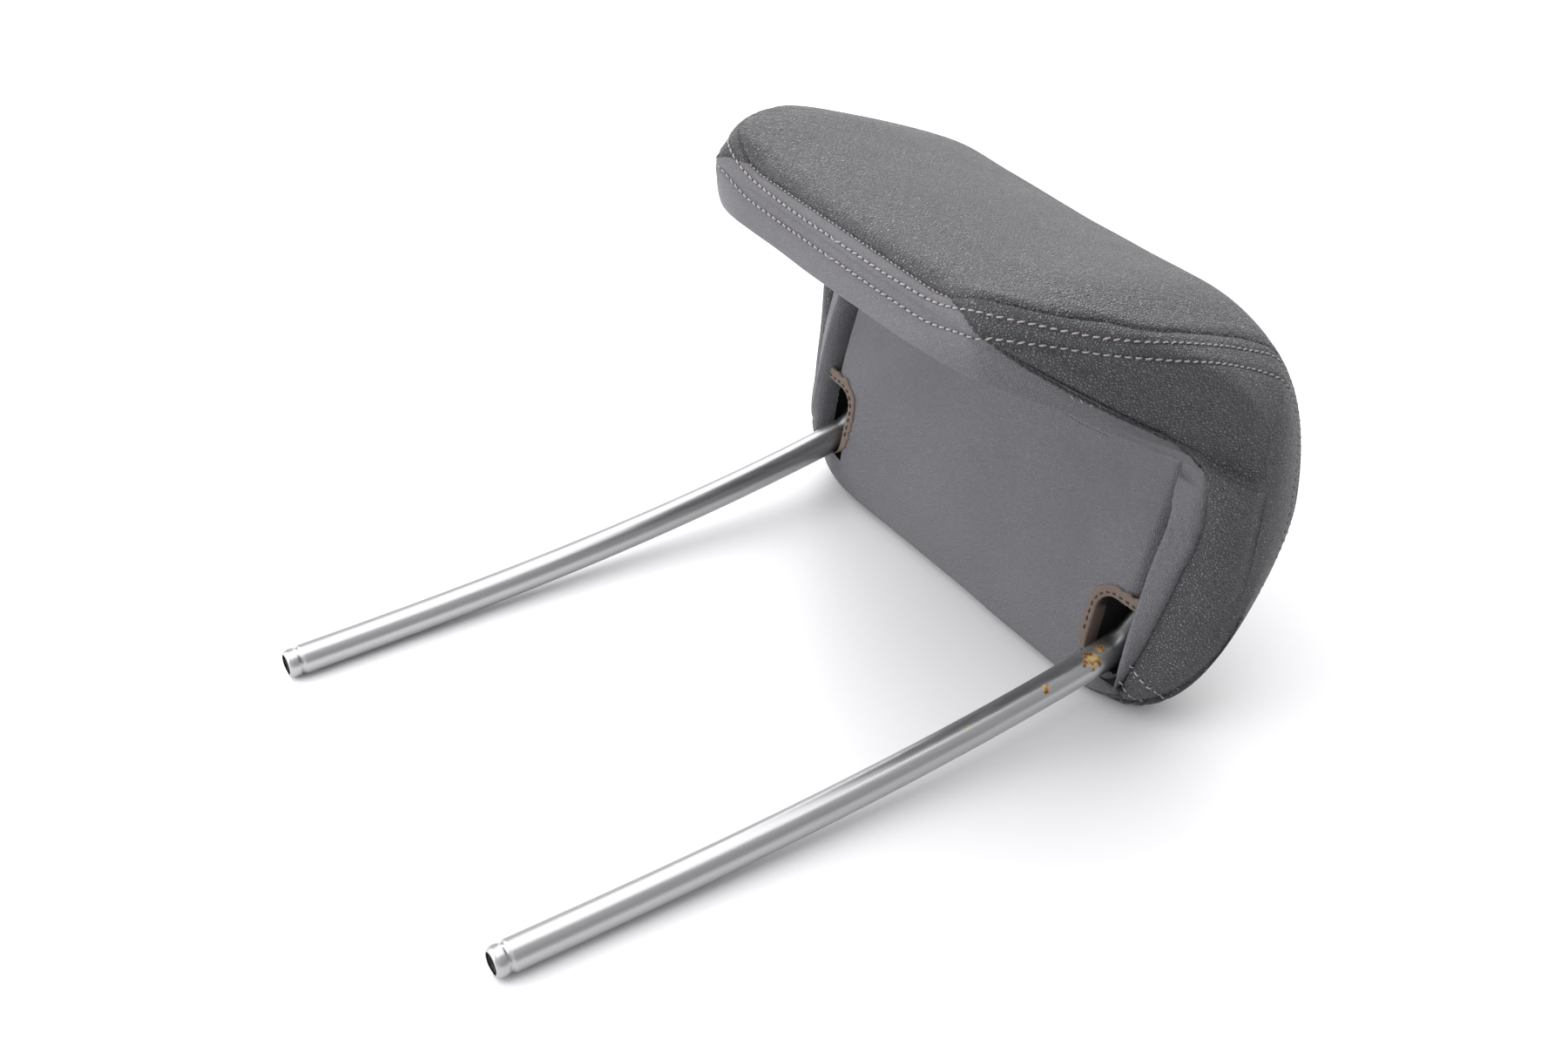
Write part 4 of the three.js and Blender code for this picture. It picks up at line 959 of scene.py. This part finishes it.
def tube(sides=48):
    """The outer skin from end to end and back through the bore."""
    line = tube_line()
    length = lengths(line)
    normal = np.array([0, 0, 1.0])
    frames = []
    for k in range(len(line)):
        t = unit(line[min(k + 1, len(line) - 1)] - line[max(k - 1, 0)])
        normal = unit(normal - t * np.dot(normal, t))
        frames.append((normal, np.cross(t, normal)))
    from_tip = np.minimum(length, length[-1] - length)
    radius = np.interp(from_tip, [t for t, _ in TIP], [r for _, r in TIP])
    bore = np.where(from_tip < 0.4, 4.1, np.minimum(BORE, radius - 0.55))
    points, faces = [], []
    angle = 2 * np.pi * np.arange(sides) / sides
    rings = [(line[k], frames[k], radius[k]) for k in range(len(line))]
    rings += [(line[k], frames[k], bore[k]) for k in range(len(line) - 1, -1, -1)]
    for c, (n, b), r in rings:
        points += list(c + r * (np.cos(angle)[:, None] * n + np.sin(angle)[:, None] * b))
    for r in range(len(rings)):
        below = ((r + 1) % len(rings)) * sides
        for j in range(sides):
            after = (j + 1) % sides
            faces.append((r * sides + j, r * sides + after, below + after, below + j))
    return points, faces


STEEL = steel_material()
points, faces = tube()
posts = make("post_tube_polished", points, faces, STEEL, body="armature")
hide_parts("post_tube")

# Carried-over inner pieces
INNER = {"carrier_front": BLACK, "carrier_rear": BLACK, "friction_bush": BUSH, "bush_clamp": ZINC,
         "clamp_screw": ZINC, "carrier_screw": ZINC}
for name, o in frame["nodes"].items():
    for start, look in INNER.items():
        if name.startswith(start):
            o.data.materials.clear()
            o.data.materials.append(look)

# Stage, light and camera
for o in list(bpy.data.objects):
    if o.name in ("Cube", "Light", "Camera"):
        bpy.data.objects.remove(o)


def area(name, place, target, size, power):
    data = bpy.data.lights.new(name, "AREA")
    data.shape = "RECTANGLE"
    data.size, data.size_y = size
    data.energy = power
    o = bpy.data.objects.new(name, data)
    bpy.context.scene.collection.objects.link(o)
    o.location = place
    o.rotation_euler = (Vector(target) - Vector(place)).to_track_quat("-Z", "Y").to_euler()


# A pale paper floor, with painted shade: its colour darkens toward the back right
FLOOR_REACH = 6.0
floor_mesh = bpy.data.meshes.new("floor")
corners = [(FLOOR_REACH * x, FLOOR_REACH * y, 0) for x, y in ((-1, -1), (1, -1), (1, 1), (-1, 1))]
floor_mesh.from_pydata(corners, [], [(0, 1, 2, 3)])
floor = bpy.data.objects.new("floor", floor_mesh)
bpy.context.scene.collection.objects.link(floor)
paper, tree, paper_bsdf = material("paper", (0.85, 0.85, 0.855), 0.45)
place = tree.nodes.new("ShaderNodeTexCoord")
toward = node(tree, "ShaderNodeVectorMath", operation="DOT_PRODUCT")
tree.links.new(place.outputs["Object"], toward.inputs[0])
toward.inputs[1].default_value = (0.54, 0.84, 0)
# Painted shade: the paper's colour falls from pale to grey toward the back right, standing in for the light's
# falloff
far = ramp(tree, toward.outputs["Value"], -0.15, 0.65)
tone = mixed(tree, (0.82, 0.82, 0.825), (0.46, 0.455, 0.465), far)
tree.links.new(tone, paper_bsdf.inputs["Base Color"])
floor_mesh.materials.append(paper)

world = bpy.context.scene.world or bpy.data.worlds.new("studio")
bpy.context.scene.world = world
world.use_nodes = True
tree = world.node_tree
background = tree.nodes["Background"]
sky = tree.nodes.new("ShaderNodeTexCoord")
toward = node(tree, "ShaderNodeVectorMath", operation="DOT_PRODUCT")
tree.links.new(sky.outputs["Generated"], toward.inputs[0])
toward.inputs[1].default_value = (-0.50, -0.72, 0.48)
tone = mixed(tree, (0.50, 0.50, 0.51), (1.0, 1.0, 1.02), ramp(tree, toward.outputs["Value"], -0.6, 0.9))
tree.links.new(tone, background.inputs["Color"])
background.inputs["Strength"].default_value = 1.0
area("key", (-0.35, 0.0, 1.6), (0, 0.05, 0.08), (3.0, 2.2), 36)
area("back", (-0.9, 1.3, 0.85), (0, 0.1, 0.1), (2.0, 1.0), 19)
area("front", (-0.9, -1.6, 0.8), (0, 0.0, 0.05), (2.2, 1.0), 30)

camera_data = bpy.data.cameras.new("camera")
camera = bpy.data.objects.new("camera", camera_data)
bpy.context.scene.collection.objects.link(camera)
camera_data.lens = 44.95
camera_data.sensor_width = 36
RIGHT, UP = Vector((0.5387, 0.8425, 0)), Vector((-0.4790, 0.3062, 0.8227))
FORWARD = Vector((-0.6931, 0.4432, -0.5685))
turn = Matrix((RIGHT, UP, -FORWARD)).transposed().to_4x4()
camera.matrix_world = Matrix.Translation((0.5136, -0.32695, 0.4841)) @ turn
bpy.context.scene.camera = camera
bpy.context.scene.view_settings.view_transform = "Standard"
